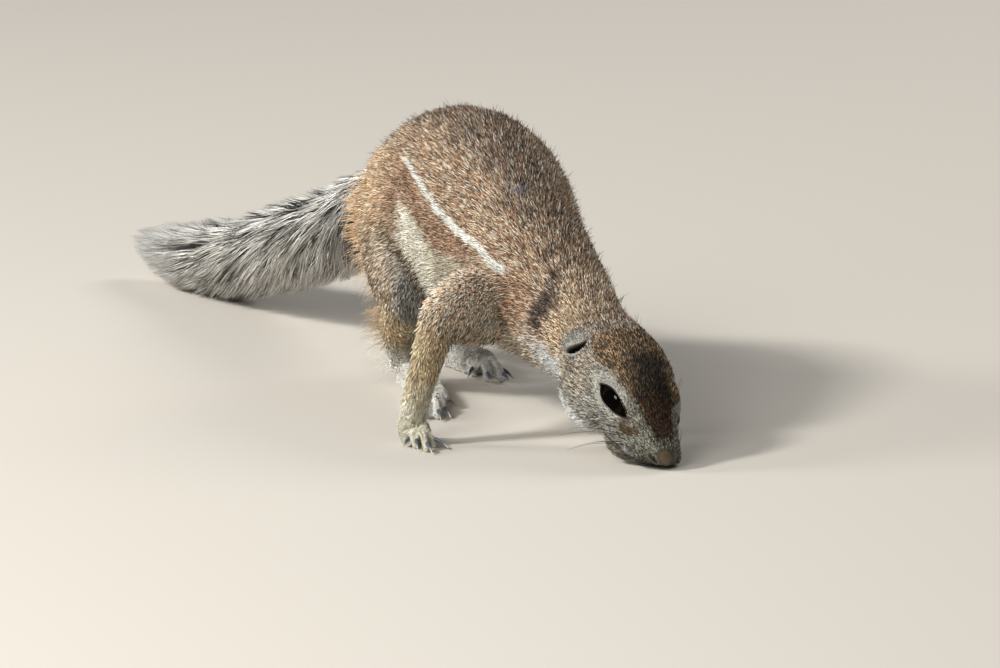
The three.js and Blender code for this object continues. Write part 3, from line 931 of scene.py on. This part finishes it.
# Eyes
# Each is a wet ball with a wide black pupil in a very dark brown iris. It sits in its socket
# behind the lids, and bulges a little between them.
PUPIL, IRIS = 0.62, 0.92
for side, name in ((-1, "right"), (1, "left")):
    axes, place = eye_frame(side)
    world_axes = axes @ HEAD_AXES
    at = place @ HEAD_AXES + HEAD_TIP - world_axes[2] * EYE_DEEP
    ball = bmesh.new()
    bmesh.ops.create_uvsphere(ball, u_segments=96, v_segments=60, radius=1)
    form = rows(ball) * MM
    across = np.hypot(form[:, 0] * EYEBALL[0], form[:, 1] * EYEBALL[1]) / EYEBALL[1]
    turn = Matrix((world_axes.T * EYEBALL).tolist()).to_4x4()
    turn.translation = Vector(at)
    bmesh.ops.transform(ball, matrix=turn, verts=ball.verts)
    bmesh.ops.scale(ball, vec=(MM, MM, MM), verts=ball.verts)
    if turn.determinant() < 0:
        bmesh.ops.reverse_faces(ball, faces=ball.faces)
    ball_data = meshed(ball, "eyeball_" + name)
    ball_data.shade_smooth()
    ring = ramp(across, PUPIL, PUPIL + 0.05)[:, None]
    edge = ramp(across, IRIS - 0.12, IRIS)[:, None]
    streaks = 1 + 0.3 * np.sin(np.arctan2(form[:, 1], form[:, 0]) * 46)[:, None]
    black = linear("050403")
    colours = black + (linear("100b08") * streaks - black) * ring * (1 - edge)
    store(ball_data, "iris", colours.clip(0, 1))
    eyeball = placed("eyeball_" + name, ball_data)
    wet_eye, nodes, links, shader = finish("eye_" + name, 0.05, Specular_IOR_Level=0.02)
    links.new(stored_colour(nodes, "iris")["Color"], shader.inputs["Base Color"])
    film = grained(nodes, 420, strength=0.04, deep=0.0002)
    links.new(film["Normal"], shader.inputs["Normal"])
    ball_data.materials.append(wet_eye)
    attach(eyeball, "root")
    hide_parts("eye_" + name)

# Eyelid rims
# A thin moist edge of bare black skin runs round each eye opening, fuller at the two corners.
RIM = 0.26
for side, name in ((-1, "right"), (1, "left")):
    axes, place = eye_frame(side)
    world_axes = axes @ HEAD_AXES
    turn = np.linspace(0, math.tau, 97)[:-1]
    along = EYE_LONG * 1.01 * np.cos(turn)
    open_by = lid_shape(along).clip(0)
    across = EYE_BOW * open_by + EYE_HIGH * 1.04 * np.sign(np.sin(turn)) * open_by
    high = np.maximum(ball_height(along, across), -0.9) + LID
    path = np.column_stack([along, across, high]) @ world_axes + place @ HEAD_AXES + HEAD_TIP
    line = bpy.data.curves.new("rim", "CURVE")
    line.dimensions = "3D"
    line.bevel_depth = RIM * MM
    line.bevel_resolution = 3
    loop = line.splines.new("POLY")
    loop.points.add(len(path) - 1)
    loop.points.foreach_set("co", np.column_stack([path * MM, np.ones(len(path))]).ravel())
    loop.points.foreach_set("radius", 1 + 0.25 * np.cos(turn) ** 8)
    loop.use_cyclic_u = True
    guide = placed("rim", line)
    rim_data = evaluated(guide)
    rim_data.name = "eyelid_rim_" + name
    bpy.data.objects.remove(guide)
    rim_data.shade_smooth()
    rim_data.materials.clear()
    rim_skin, nodes, links, shader = finish("eyelid_" + name, 0.28)
    dark = nodes.new("ShaderNodeValToRGB")
    dark.color_ramp.elements[0].color = (*linear("080605"), 1)
    dark.color_ramp.elements[1].color = (*linear("1f1814"), 1)
    links.new(grained(nodes, 3000)["Amount"], dark.inputs["Fac"])
    links.new(dark.outputs["Color"], shader.inputs["Base Color"])
    rim_data.materials.append(rim_skin)
    eyelid_rim = placed("eyelid_rim_" + name, rim_data)
    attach(eyelid_rim, "root")

# Claws
# Slim curved claws of slate-grey horn, paler towards the tip, each set back into the end of its
# toe.
CLAW_SLIM, CLAW_SET_BACK = 0.95, 1.30
horn, nodes, links, shader = finish("horn", 0.36)
streak = grained(nodes, 1500, strength=0.3, deep=0.00008)
worn_horn = nodes.new("ShaderNodeMix")
worn_horn.data_type = "RGBA"
worn_horn.blend_type = "OVERLAY"
worn_horn.inputs["Factor"].default_value = 0.55
links.new(stored_colour(nodes, "horn")["Color"], worn_horn.inputs["A"])
links.new(streak["Amount"], worn_horn.inputs["B"])
links.new(worn_horn.outputs["Result"], shader.inputs["Base Color"])
links.new(streak["Normal"], shader.inputs["Normal"])
for kind in ("fore", "hind"):
    for side in ("right", "left"):
        claws = claws_of(kind, side)
        heel = centre(kind + "foot_" + side)
        clawed = bmesh.new()
        for node in claws:
            form = bmesh.new()
            form.from_mesh(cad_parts[node].data)
            bmesh.ops.remove_doubles(form, verts=form.verts, dist=1e-5)
            place = rows(form)
            away = np.hypot(*(place - heel)[:, :2].T)
            tip, root = place[away.argmax()], place[np.argsort(away)[:6]].mean(axis=0)
            way = (tip - root) / np.linalg.norm(tip - root)
            back_by = (place - tip) @ way
            line_of = tip + back_by[:, None] * way
            slim = line_of + (place - line_of) * CLAW_SLIM
            slim += way * (back_by * (CLAW_SET_BACK - 1))[:, None]
            for vert, spot in zip(form.verts, slim):
                vert.co = Vector(spot * MM)
            part = meshed(form, "claw")
            clawed.from_mesh(part)
            bpy.data.meshes.remove(part)
        bmesh.ops.recalc_face_normals(clawed, faces=clawed.faces)
        rough = placed("claws", meshed(clawed, "claws"))
        smooth = rough.modifiers.new("smooth", "SUBSURF")
        smooth.levels = smooth.render_levels = 2
        claw_data = evaluated(rough)
        bpy.data.objects.remove(rough)
        claw_data.shade_smooth()
        spots = positions(claw_data)
        reach_of = np.hypot(*(spots - heel)[:, :2].T)
        apart = [np.hypot(*(spots - centre(node))[:, :2].T) for node in claws]
        nearest = np.argmin(apart, axis=0)
        tipward = np.zeros(len(spots))
        for k in range(len(claws)):
            mine = nearest == k
            tipward[mine] = (reach_of[mine] - reach_of[mine].min()) / np.ptp(reach_of[mine])
        slate = linear("4d535e")
        colours = slate + (linear("b9b6ad") - slate) * ramp(tipward, 0.55, 1.0)[:, None]
        store(claw_data, "horn", colours)
        claw_data.materials.clear()
        claw_data.materials.append(horn)
        claw_set = placed("claws_" + kind + "_" + side, claw_data)
        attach(claw_set, "root")
        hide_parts(*claws)

# Coat
# Short coarse hair in small pointed tufts, each rooted in the hide and laid the way the coat
# lies. Their tips reach the outline of the animal.
TUFT_FACES = np.array([(0, 1, 2), (3, 2, 1), (0, 3, 1), (0, 2, 3)])
WAIST = 0.45
PATCH = 0.003
ROOT_SHADE = 0.45
LENGTHWISE = np.array([1.0, 0, 0])
FLOOR_GAP = 0.15
hair_finish, nodes, links, shader = finish("coat", 0.5)
links.new(stored_colour(nodes, "hair")["Color"], shader.inputs["Base Color"])


def rooted(chosen, per_mm2, rng):
    """Roots spread over chosen faces: each one's face, and its shares of the face's corners."""
    a, b, c = (points[corners[chosen, k]] for k in range(3))
    area = np.linalg.norm(np.cross(b - a, c - a), axis=1) / 2
    wanted = area * per_mm2[corners[chosen]].mean(axis=1)
    number = np.floor(wanted + rng.random(len(wanted))).astype(int)
    faces = np.repeat(chosen, number)
    u, v = rng.random((2, len(faces)))
    flip = u + v > 1
    u, v = np.where(flip, 1 - u, u), np.where(flip, 1 - v, v)
    return faces, np.stack([1 - u - v, u, v], axis=1)


def blended(values, faces, shares):
    """A quantity of the hide's points at roots on its faces."""
    return (values[corners[faces]] * shares[:, :, None]).sum(axis=1)


def laid_out(place, start, way):
    """Where roots fall on an unwrap of the skin: round a line through the body, and along it."""
    rel = place - start
    along = rel @ way
    side = unit(np.cross(way, [0.03, 0.02, 1.0])[None])[0]
    turn = np.arctan2(rel @ np.cross(side, way), rel @ side) / math.tau + 0.5
    along = (along - along.min()) / max(np.ptp(along), 1e-6)
    return 0.004 + 0.992 * np.column_stack([turn, along])


def joined(name, verts, faces, colours, along, patch, soft=False):
    """One coat piece from tufts that all have the same few faces."""
    number, size = verts.shape[:2]
    mesh = bpy.data.meshes.new(name)
    mesh.vertices.add(number * size)
    mesh.vertices.foreach_set("co", (verts * MM).astype(np.float32).ravel())
    every = (faces[None] + (np.arange(number) * size)[:, None, None]).reshape(-1, 3)
    mesh.loops.add(every.size)
    mesh.loops.foreach_set("vertex_index", every.ravel().astype(np.int32))
    mesh.polygons.add(len(every))
    mesh.polygons.foreach_set("loop_start", np.arange(0, every.size, 3, dtype=np.int32))
    mesh.update(calc_edges=True)
    if soft:
        mesh.shade_smooth()
    store(mesh, "hair", colours.reshape(-1, 3))
    unwrap = mesh.uv_layers.new(name="OFBake")
    spots = patch[:, None, :] + (along[None] - 0.5) * PATCH
    unwrap.data.foreach_set("uv", spots.reshape(-1, 2)[every.ravel()].astype(np.float32).ravel())
    mesh.materials.append(hair_finish)
    piece = placed(name, mesh)
    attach(piece, "root")


def ticked(paint, rng):
    """The colour of each tuft's root, body and tip, with the ticks of its place in the coat."""
    number = len(paint)
    main, pale, dark = paint[:, 0:3], paint[:, 3:6], paint[:, 6:9]
    draw = rng.random(number)
    is_pale = (draw < paint[:, 9])[:, None]
    is_dark = (draw > 1 - paint[:, 10])[:, None]
    vary = 1 + 0.15 * rng.normal(size=(number, 1)).clip(-2, 2)
    darker = np.where(is_dark, main * 0.3 + dark * 0.7, main)
    body_colour = np.where(is_pale, main * 0.3 + pale * 0.7, darker) * vary
    tip_colour = np.where(is_pale, pale, np.where(is_dark, dark, main * 0.9)) * vary
    return np.stack([main * ROOT_SHADE, body_colour, tip_colour], axis=1).clip(0, 1)


def uneven(rng, number, by, least, most):
    """A factor about 1 for each tuft, no smaller and no larger than given."""
    return (1 + by * rng.normal(size=number)).clip(least, most)


def clear_of_floor(verts):
    """Lifts hair that would go through the floor."""
    verts[:, :, 2] = np.maximum(verts[:, :, 2], FLOOR_GAP)


local = on_head(points)
ring, _ = eye_plan(local)
flap_far, slit = ear_plan(local)
length, width, lift, per_mm2 = coat[:, 1], coat[:, 2], np.radians(coat[:, 3]), coat[:, 4]
muzzle = ramp(local[:, 0], -24, -6) * is_head
length = length * (1 - 0.28 * muzzle)
width = width * (1 - 0.08 * muzzle)
cheek = is_head * (1 - ramp(local[:, 2], -7, 1)) * (1 - ramp(local[:, 0], -24, -12))
length = length * (1 + 0.2 * cheek)
lift = lift * (1 + 0.4 * cheek)
crown_part = is_head * ramp(local[:, 2] - np.interp(local[:, 0], *CROWN_EDGE), -0.5, 1.5)
length = length * (1 - 0.14 * crown_part)
lift = lift * (1 + 0.25 * crown_part)
near_head = ramp(points[:, 0], 115, 135) * of("neck")
length = length * (1 - 0.22 * near_head)
width = width * (1 - 0.2 * near_head)
length = np.where(is_head, length * (0.6 + 0.4 * ramp(ring, 1.2, 3.0)), length)
length = length * (0.6 + 0.4 * ramp(flap_far, 3.5, 6.5))
length = length * (1 - 0.3 * toe_part)
width = width * (1 - 0.2 * toe_part)
lift = lift * (1 - 0.3 * toe_part)
under = ramp(-normals[:, 2], 0.4, 0.9) * ~is_head
per_mm2 = per_mm2 * (1 - 0.5 * under)
bare = (ring < 1.12) | (nose_ring(local) < 0.64) | (nostril_ring(local) < NOSTRIL_BARE)
bare = is_head & bare | (slit < 0.05)
bare |= (points[:, 2] < 1.0) & (normals[:, 2] < -0.4) & is_foot
per_mm2 = np.where(bare, 0, per_mm2)
lies = unit(lies - normals * (lies * normals).sum(axis=1, keepdims=True))


def grown(chosen, amount, rng, sway_by):
    """Roots on chosen faces, with the ways out, along the lie and across it, and their paint."""
    faces, shares = rooted(chosen, amount, rng)
    root = blended(points, faces, shares)
    out = unit(blended(normals, faces, shares))
    lie = blended(lies, faces, shares)
    lie = unit(lie - out * (lie * out).sum(axis=1, keepdims=True))
    side = np.cross(out, lie)
    sway = np.radians(sway_by) * rng.normal(size=len(faces)) + 0.16 * mottle(root, 5)
    lie = lie * np.cos(sway)[:, None] + side * np.sin(sway)[:, None]
    paint = painted(root, out, blended(share_of, faces, shares))
    sizes = blended(np.column_stack([length, width, lift]), faces, shares)
    return root, out, lie, np.cross(out, lie), sizes, paint


def tufted(name, zone, seed):
    """A coat piece of tufts over the chosen faces of the hide."""
    rng = np.random.default_rng(seed)
    chosen = np.where(zone & ~bare[corners].any(axis=1))[0]
    root, out, lie, side, sizes, paint = grown(chosen, per_mm2, rng, 9)
    number = len(root)
    long = sizes[:, 0] * uneven(rng, number, 0.18, 0.55, 1.5)
    wide = sizes[:, 1] * uneven(rng, number, 0.2, 0.5, 1.6)
    rise = sizes[:, 2] * uneven(rng, number, 0.3, 0.3, 2.2)
    rise = np.where(rng.random(number) < 0.07, rise * 1.7, rise)
    first, second = rise * 1.4, rise * 0.7
    step_a = lie * np.cos(first)[:, None] + out * np.sin(first)[:, None]
    step_b = lie * np.cos(second)[:, None] + out * np.sin(second)[:, None]
    sunk = root - out * (0.07 * long)[:, None]
    mid = sunk + step_a * (WAIST * long)[:, None]
    tip = mid + step_b * ((1 - WAIST) * long)[:, None]
    half = side * (wide / 2)[:, None]
    crown = out * (wide * 0.22)[:, None]
    verts = np.stack([sunk, mid - half + crown, mid + half + crown, tip], axis=1)
    clear_of_floor(verts)
    three = ticked(paint, rng)
    colours = np.stack([three[:, 0], three[:, 1], three[:, 1], three[:, 2]], axis=1)
    along = np.array([(0.5, 0), (0, WAIST), (1, WAIST), (0.5, 1)])
    patch = laid_out(root, root.mean(axis=0), LENGTHWISE)
    joined(name, verts, TUFT_FACES, colours, along, patch)


def over_parts(*kinds):
    """The faces of the hide on these parts of the body."""
    return np.isin(family_at[corners[:, 0]], numbers(kinds))


face_middle = points[corners].mean(axis=1)
on_the_left = face_middle[:, 1] > 1.5
head_front = local[corners[:, 0], 0] > -27
head_faces = is_head[corners[:, 0]]
tufted("coat_face", head_faces & head_front, 11)
tufted("coat_crown", head_faces & ~head_front, 12)
tufted("coat_neck", over_parts("neck"), 13)
tufted("coat_chest", over_parts("chest"), 19)
tufted("coat_flank_right", over_parts("belly") & ~on_the_left, 14)
tufted("coat_flank_left", over_parts("belly") & on_the_left, 20)
tufted("coat_rump", over_parts("rump"), 15)
tufted("coat_forelegs", over_parts("upper_arm", "forearm", "forefoot"), 16)
tufted("coat_thighs", over_parts("thigh"), 17)
tufted("coat_hindlegs", over_parts("shank", "hindfoot"), 18)

# Guard hairs
# Longer, darker hairs that stand a little out of the coat along the back, and loose buff ones
# behind the thighs. Each is a fine tapered blade, bent twice.
HAIR_FACES = np.array([(0, 2, 1), (0, 3, 2), (0, 1, 3),
                       (1, 2, 5), (1, 5, 4), (2, 3, 6), (2, 6, 5), (3, 1, 4), (3, 4, 6),
                       (7, 4, 5), (7, 5, 6), (7, 6, 4)])
HAIR_ALONG = np.array([(0.5, 0), (0, 0.36), (1, 0.36), (0.5, 0.36),
                       (0, 0.7), (1, 0.7), (0.5, 0.7), (0.5, 1)])


def bladed(root, first, second, tip, side, wide):
    """Long hairs as three-sided blades through two bends."""
    half = side * (wide / 2)[:, None]
    crest = unit(np.cross(tip - root, side)) * (wide * 0.4)[:, None]
    return np.stack([root, first - half, first + half, first + crest,
                     second - half * 0.8, second + half * 0.8, second + crest * 0.8, tip], axis=1)


def guarded(name, amount, long, wide, rise, mixes, seed):
    """A piece of guard hairs: how many there are, how long and wide, their lift, and their colours."""
    rng = np.random.default_rng(seed)
    chosen = np.where((amount[corners].mean(axis=1) > 0) & ~bare[corners].any(axis=1))[0]
    root, out, lie, side, _, paint = grown(chosen, amount, rng, 16)
    number = len(root)
    long = long * uneven(rng, number, 0.22, 0.5, 1.6)
    rise = np.radians(rise) * uneven(rng, number, 0.35, 0.3, 2)
    spots = [root - out * 0.25]
    for share, steep in ((0.36, 1.25), (0.34, 1.0), (0.30, 0.7)):
        step = lie * np.cos(rise * steep)[:, None] + out * np.sin(rise * steep)[:, None]
        spots.append(spots[-1] + step * (long * share)[:, None])
    verts = bladed(*spots, side, wide * uneven(rng, number, 0.2, 0.5, 1.6))
    clear_of_floor(verts)
    ends = [paint[:, 0:3] * a + paint[:, 6:9] * b for a, b in mixes]
    colours = np.stack([ends[0]] + [ends[1]] * 3 + [ends[2]] * 4, axis=1)
    patch = laid_out(root, root.mean(axis=0), LENGTHWISE)
    joined(name, verts, HAIR_FACES, colours, HAIR_ALONG, patch, soft=True)


upward = ramp(normals[:, 2], -0.1, 0.4)
back_guards = 0.42 * of("rump", "belly", "chest") * (0.35 + 0.65 * upward) + 0.35 * of("neck")
dark_tipped = (0.4, 0), (0.6, 0.4), (0.05, 0.95)
guarded("guard_hairs_back", back_guards, long=4.7, wide=0.12, rise=33, mixes=dark_tipped, seed=31)
rearward = ramp(-normals[:, 0], 0.1, 0.7) * ramp(-points[:, 2], -62, -50)
thigh_guards = 1.3 * of("thigh", "shank", "rump") * rearward
buff = (0.75, 0), (1.0, 0), (1.15, 0)
guarded("guard_hairs_thigh", thigh_guards, long=7.4, wide=0.15, rise=58, mixes=buff, seed=32)

# Whiskers
# Stiff dark hairs from the pads beside the nose, and a few over each eye. They taper to nothing,
# and sweep back along the cheeks.
WHISKERS = [  # the root's place ahead of the nose's tip and above it, length, spread out, rise
    (-8.5, -2.2, 22, 0.50, 0.10), (-10.5, -1.4, 26, 0.46, 0.22), (-12.5, -2.6, 30, 0.42, 0.02),
    (-9.5, -3.8, 24, 0.52, -0.04), (-12.0, -4.4, 29, 0.44, -0.08), (-14.0, -1.2, 25, 0.40, 0.30),
    (-14.5, -3.8, 31, 0.38, 0.00), (-7.5, -3.6, 17, 0.60, 0.02), (-16.0, -2.6, 27, 0.36, 0.16),
]
BROW_HAIRS = [
    (-21.5, 8.0, 6.5, 0.50, 0.65), (-23.0, 8.4, 8, 0.55, 0.50), (-24.6, 8.6, 7, 0.62, 0.42),
]
WHISKER_RINGS = 9
BESIDE_HEAD = 14.0
whisker_tree = BVHTree.FromPolygons((points * MM).tolist(), corners.tolist())
whisker_faces = []
for k in range(WHISKER_RINGS - 1):
    for j in range(3):
        a, b = 3 * k + j, 3 * k + (j + 1) % 3
        whisker_faces += [(a, b, b + 3), (a, b + 3, a + 3)]
last = 3 * (WHISKER_RINGS - 1)
whisker_faces += [(last + j, last + (j + 1) % 3, last + 3) for j in range(3)] + [(2, 1, 0)]
whisker_along = [(j / 2, k / WHISKER_RINGS) for k in range(WHISKER_RINGS) for j in range(3)]
whisker_along += [(0.5, 1)]
rng = np.random.default_rng(41)
whisker_verts, whisker_colours, whisker_roots = [], [], []
for side in (-1, 1):
    for thick, sag, rows_of in ((0.115, 0.16, WHISKERS), (0.055, 0.05, BROW_HAIRS)):
        for ahead, up, long, spread_out, rise in rows_of:
            start = np.array([ahead, side * BESIDE_HEAD, up]) @ HEAD_AXES + HEAD_TIP
            inward = np.array([0, -side, 0]) @ HEAD_AXES
            hit = whisker_tree.ray_cast(Vector(start * MM), Vector(inward))[0]
            start = np.array(hit) / MM + inward * 0.4
            hang = (0.42 if side < 0 else 0.1) * (thick > 0.1)
            outwards = side * (spread_out + 0.05 * rng.normal())
            upwards = rise - hang + 0.05 * rng.normal()
            way = unit((np.array([-1.0, outwards, upwards]) @ HEAD_AXES)[None])[0]
            t = np.linspace(0, 1, WHISKER_RINGS + 1)[:, None]
            line_of = start + way * long * t + np.array([0, 0, -1]) * sag * long * t ** 2
            line_of += inward * 0.10 * long * t ** 2 * (thick > 0.1)
            line_of[:, 2] = np.maximum(line_of[:, 2], 0.5 + 0.6 * t[:, 0])
            along_of = unit(np.gradient(line_of, axis=0))
            one = unit(np.cross(along_of, [0, 0, 1]))
            two = np.cross(along_of, one)
            girth = thick * (1 - 0.75 * t)
            around = [line_of + girth * (math.cos(a) * one + math.sin(a) * two)
                      for a in (0, math.tau / 3, math.tau * 2 / 3)]
            form = np.stack(around, axis=1)[:-1].reshape(-1, 3)
            whisker_verts.append(np.vstack([form, line_of[-1:]]))
            dark, pale = linear("17120e"), linear("54483c")
            shade_of = np.repeat(dark + (pale - dark) * t[:-1] ** 2, 3, axis=0)
            whisker_colours.append(np.vstack([shade_of, pale[None]]))
            whisker_roots.append(start)
whisker_roots = np.array(whisker_roots)
whisker_patch = laid_out(whisker_roots, whisker_roots.mean(axis=0), LENGTHWISE)
joined("whiskers", np.array(whisker_verts), np.array(whisker_faces), np.array(whisker_colours),
       np.array(whisker_along), whisker_patch, soft=True)

# Tail hair
# Long coarse hairs banded pale and black, in locks that are combed back from the tail's core and
# hang to either side, steeply by the rump and hardly at all at the white tip.
TAIL_DENSITY = 3.3
TAIL_LENGTH = 26.0
LOCK = 9
TAIL_WIDTH = 0.40
TAIL_SHADES = {
    "root": "3f362c", "dark": "14110f", "main": "c4bfb2", "pale": "f8f5ee", "white": "eae8e2",
}
tail_shade = {name: linear(code) for name, code in TAIL_SHADES.items()}


def tail_reach(along, turn):
    """How far the tail's outline is from its middle line, at a distance along and a turn round."""
    across = np.interp(along, bin_at, widths[:, 1])
    high = np.interp(along, bin_at, widths[:, 2])
    end = np.sqrt(np.clip((tail_to + 11 - along) / 16, 0.08, 1))
    return end / np.sqrt((np.cos(turn) / across) ** 2 + (np.sin(turn) / high) ** 2)


def tail_hair(name, side_sign, seed):
    """One side of the tail's hair."""
    rng = np.random.default_rng(seed)
    where = (points - tail_start) @ tail_axes.T
    face_side = where[corners].mean(axis=1)
    axis_here = tail_axis(face_side[:, 0])
    wanted = is_tail[corners].all(axis=1) & ((face_side[:, 1] - axis_here[:, 1]) * side_sign >= 0)
    thicker = 1 + 1.6 * ramp(where[:, 0], tail_to - 60, tail_to - 30)
    faces, shares = rooted(np.where(wanted)[0], TAIL_DENSITY * thicker, rng)
    number = len(faces)
    root = (blended(points, faces, shares) - tail_start) @ tail_axes.T
    rel = root - tail_axis(root[:, 0])
    turn = np.arctan2(rel[:, 2], rel[:, 1])
    core = np.hypot(rel[:, 1], rel[:, 2])
    grown_by = 0.4 + 0.6 * ramp(root[:, 0], tail_from, tail_from + 26)

    leaders = rng.integers(0, number, number // LOCK)
    spots = np.column_stack([root[:, 0] / 2.2, np.cos(turn) * 2.4, np.sin(turn) * 2.4])
    lock_tree = KDTree(len(leaders))
    for k, spot in enumerate(spots[leaders]):
        lock_tree.insert(spot, k)
    lock_tree.balance()
    lock = np.array([lock_tree.find(spot)[1] for spot in spots])
    of_lock = rng.normal(size=(len(leaders), 4))[lock]
    lead = leaders[lock]

    back = ramp(root[:, 0], tail_from, tail_to - 30)
    longer = (1 + 0.12 * rng.normal(size=number) + 0.12 * of_lock[:, 0]).clip(0.5, 1.4)
    long = TAIL_LENGTH * grown_by * longer
    tip_along = root[:, 0] + long * (0.62 + 0.33 * back)
    tuft_end = tail_to - 6 + 15 * rng.random(number) ** 1.2
    tip_along = np.where(tip_along > tail_to - 5, tuft_end, tip_along)
    droop = 1.05 - 0.65 * back
    tip_turn = turn - droop * np.cos(turn) * grown_by
    tip_turn = tip_turn + 0.10 * rng.normal(size=number) + 0.12 * of_lock[:, 1]
    lean = rng.random(number) ** 0.6 * 0.22 + 0.20 * of_lock[:, 2].clip(-2, 1)
    reach = tail_reach(tip_along, tip_turn) * (0.80 + lean).clip(0.35, 1.04)
    reach = np.maximum(reach, core + 0.4)
    tip = tail_axis(tip_along)
    tip[:, 1] += reach * np.cos(tip_turn)
    tip[:, 2] += reach * np.sin(tip_turn)
    gather = 0.55 + 0.15 * rng.random((number, 1))
    tip = tip + (tip[lead] + (root - root[lead]) * 0.3 - tip) * gather
    outward_way = unit(rel * [0, 1, 1])
    bend = root + outward_way * ((reach - core) * 0.6)[:, None] + LENGTHWISE * (long * 0.3)[:, None]

    def at(t):
        return root * (1 - t) ** 2 + bend * 2 * t * (1 - t) + tip * t ** 2

    side = unit(np.cross(outward_way, unit(tip - root)))
    wide = TAIL_WIDTH * uneven(rng, number, 0.25, 0.5, 1.7)
    verts = bladed(root - outward_way * 0.3, at(0.36), at(0.7), tip, side, wide)
    verts = verts @ tail_axes + tail_start
    clear_of_floor(verts)
    draw = rng.random((number, 3)) + 0.28 * of_lock[:, 3:]
    white = ramp(root[:, 0], tail_to - 55, tail_to - 24)[:, None]
    # Hairs that hang under the tail by the rump are painted darker, as painted shade.
    by_rump = 1 - ramp(root[:, 0], tail_from + 6, tail_from + 40)
    dim = 1 - 0.7 * by_rump * ramp(-np.sin(tip_turn), -0.5, 0.6)

    def banded(k, darks, mains):
        picked = np.where(draw[:, k:k + 1] < mains, tail_shade["main"], tail_shade["pale"])
        picked = np.where(draw[:, k:k + 1] < darks, tail_shade["dark"], picked)
        return picked + (tail_shade["white"] - picked) * white * 0.72

    at_root = np.broadcast_to(tail_shade["root"], (number, 3))
    bands = [banded(0, 0.50, 0.70), banded(1, 0.42, 0.62), banded(2, 0.20, 0.42)]
    vary = (1 + 0.1 * rng.normal(size=(number, 1)).clip(-2, 2)) * dim[:, None]
    low_band, high_band, tip_band = (band * vary for band in bands)
    colours = np.stack([at_root] + [low_band] * 3 + [high_band] * 3 + [tip_band], axis=1).clip(0, 1)
    patch = laid_out(root @ tail_axes + tail_start, tail_start + tail_way * 60, tail_way)
    joined(name, verts, HAIR_FACES, colours, HAIR_ALONG, patch, soft=True)


tail_hair("tail_hair_right", side_sign=1, seed=21)
tail_hair("tail_hair_left", side_sign=-1, seed=22)

low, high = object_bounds()
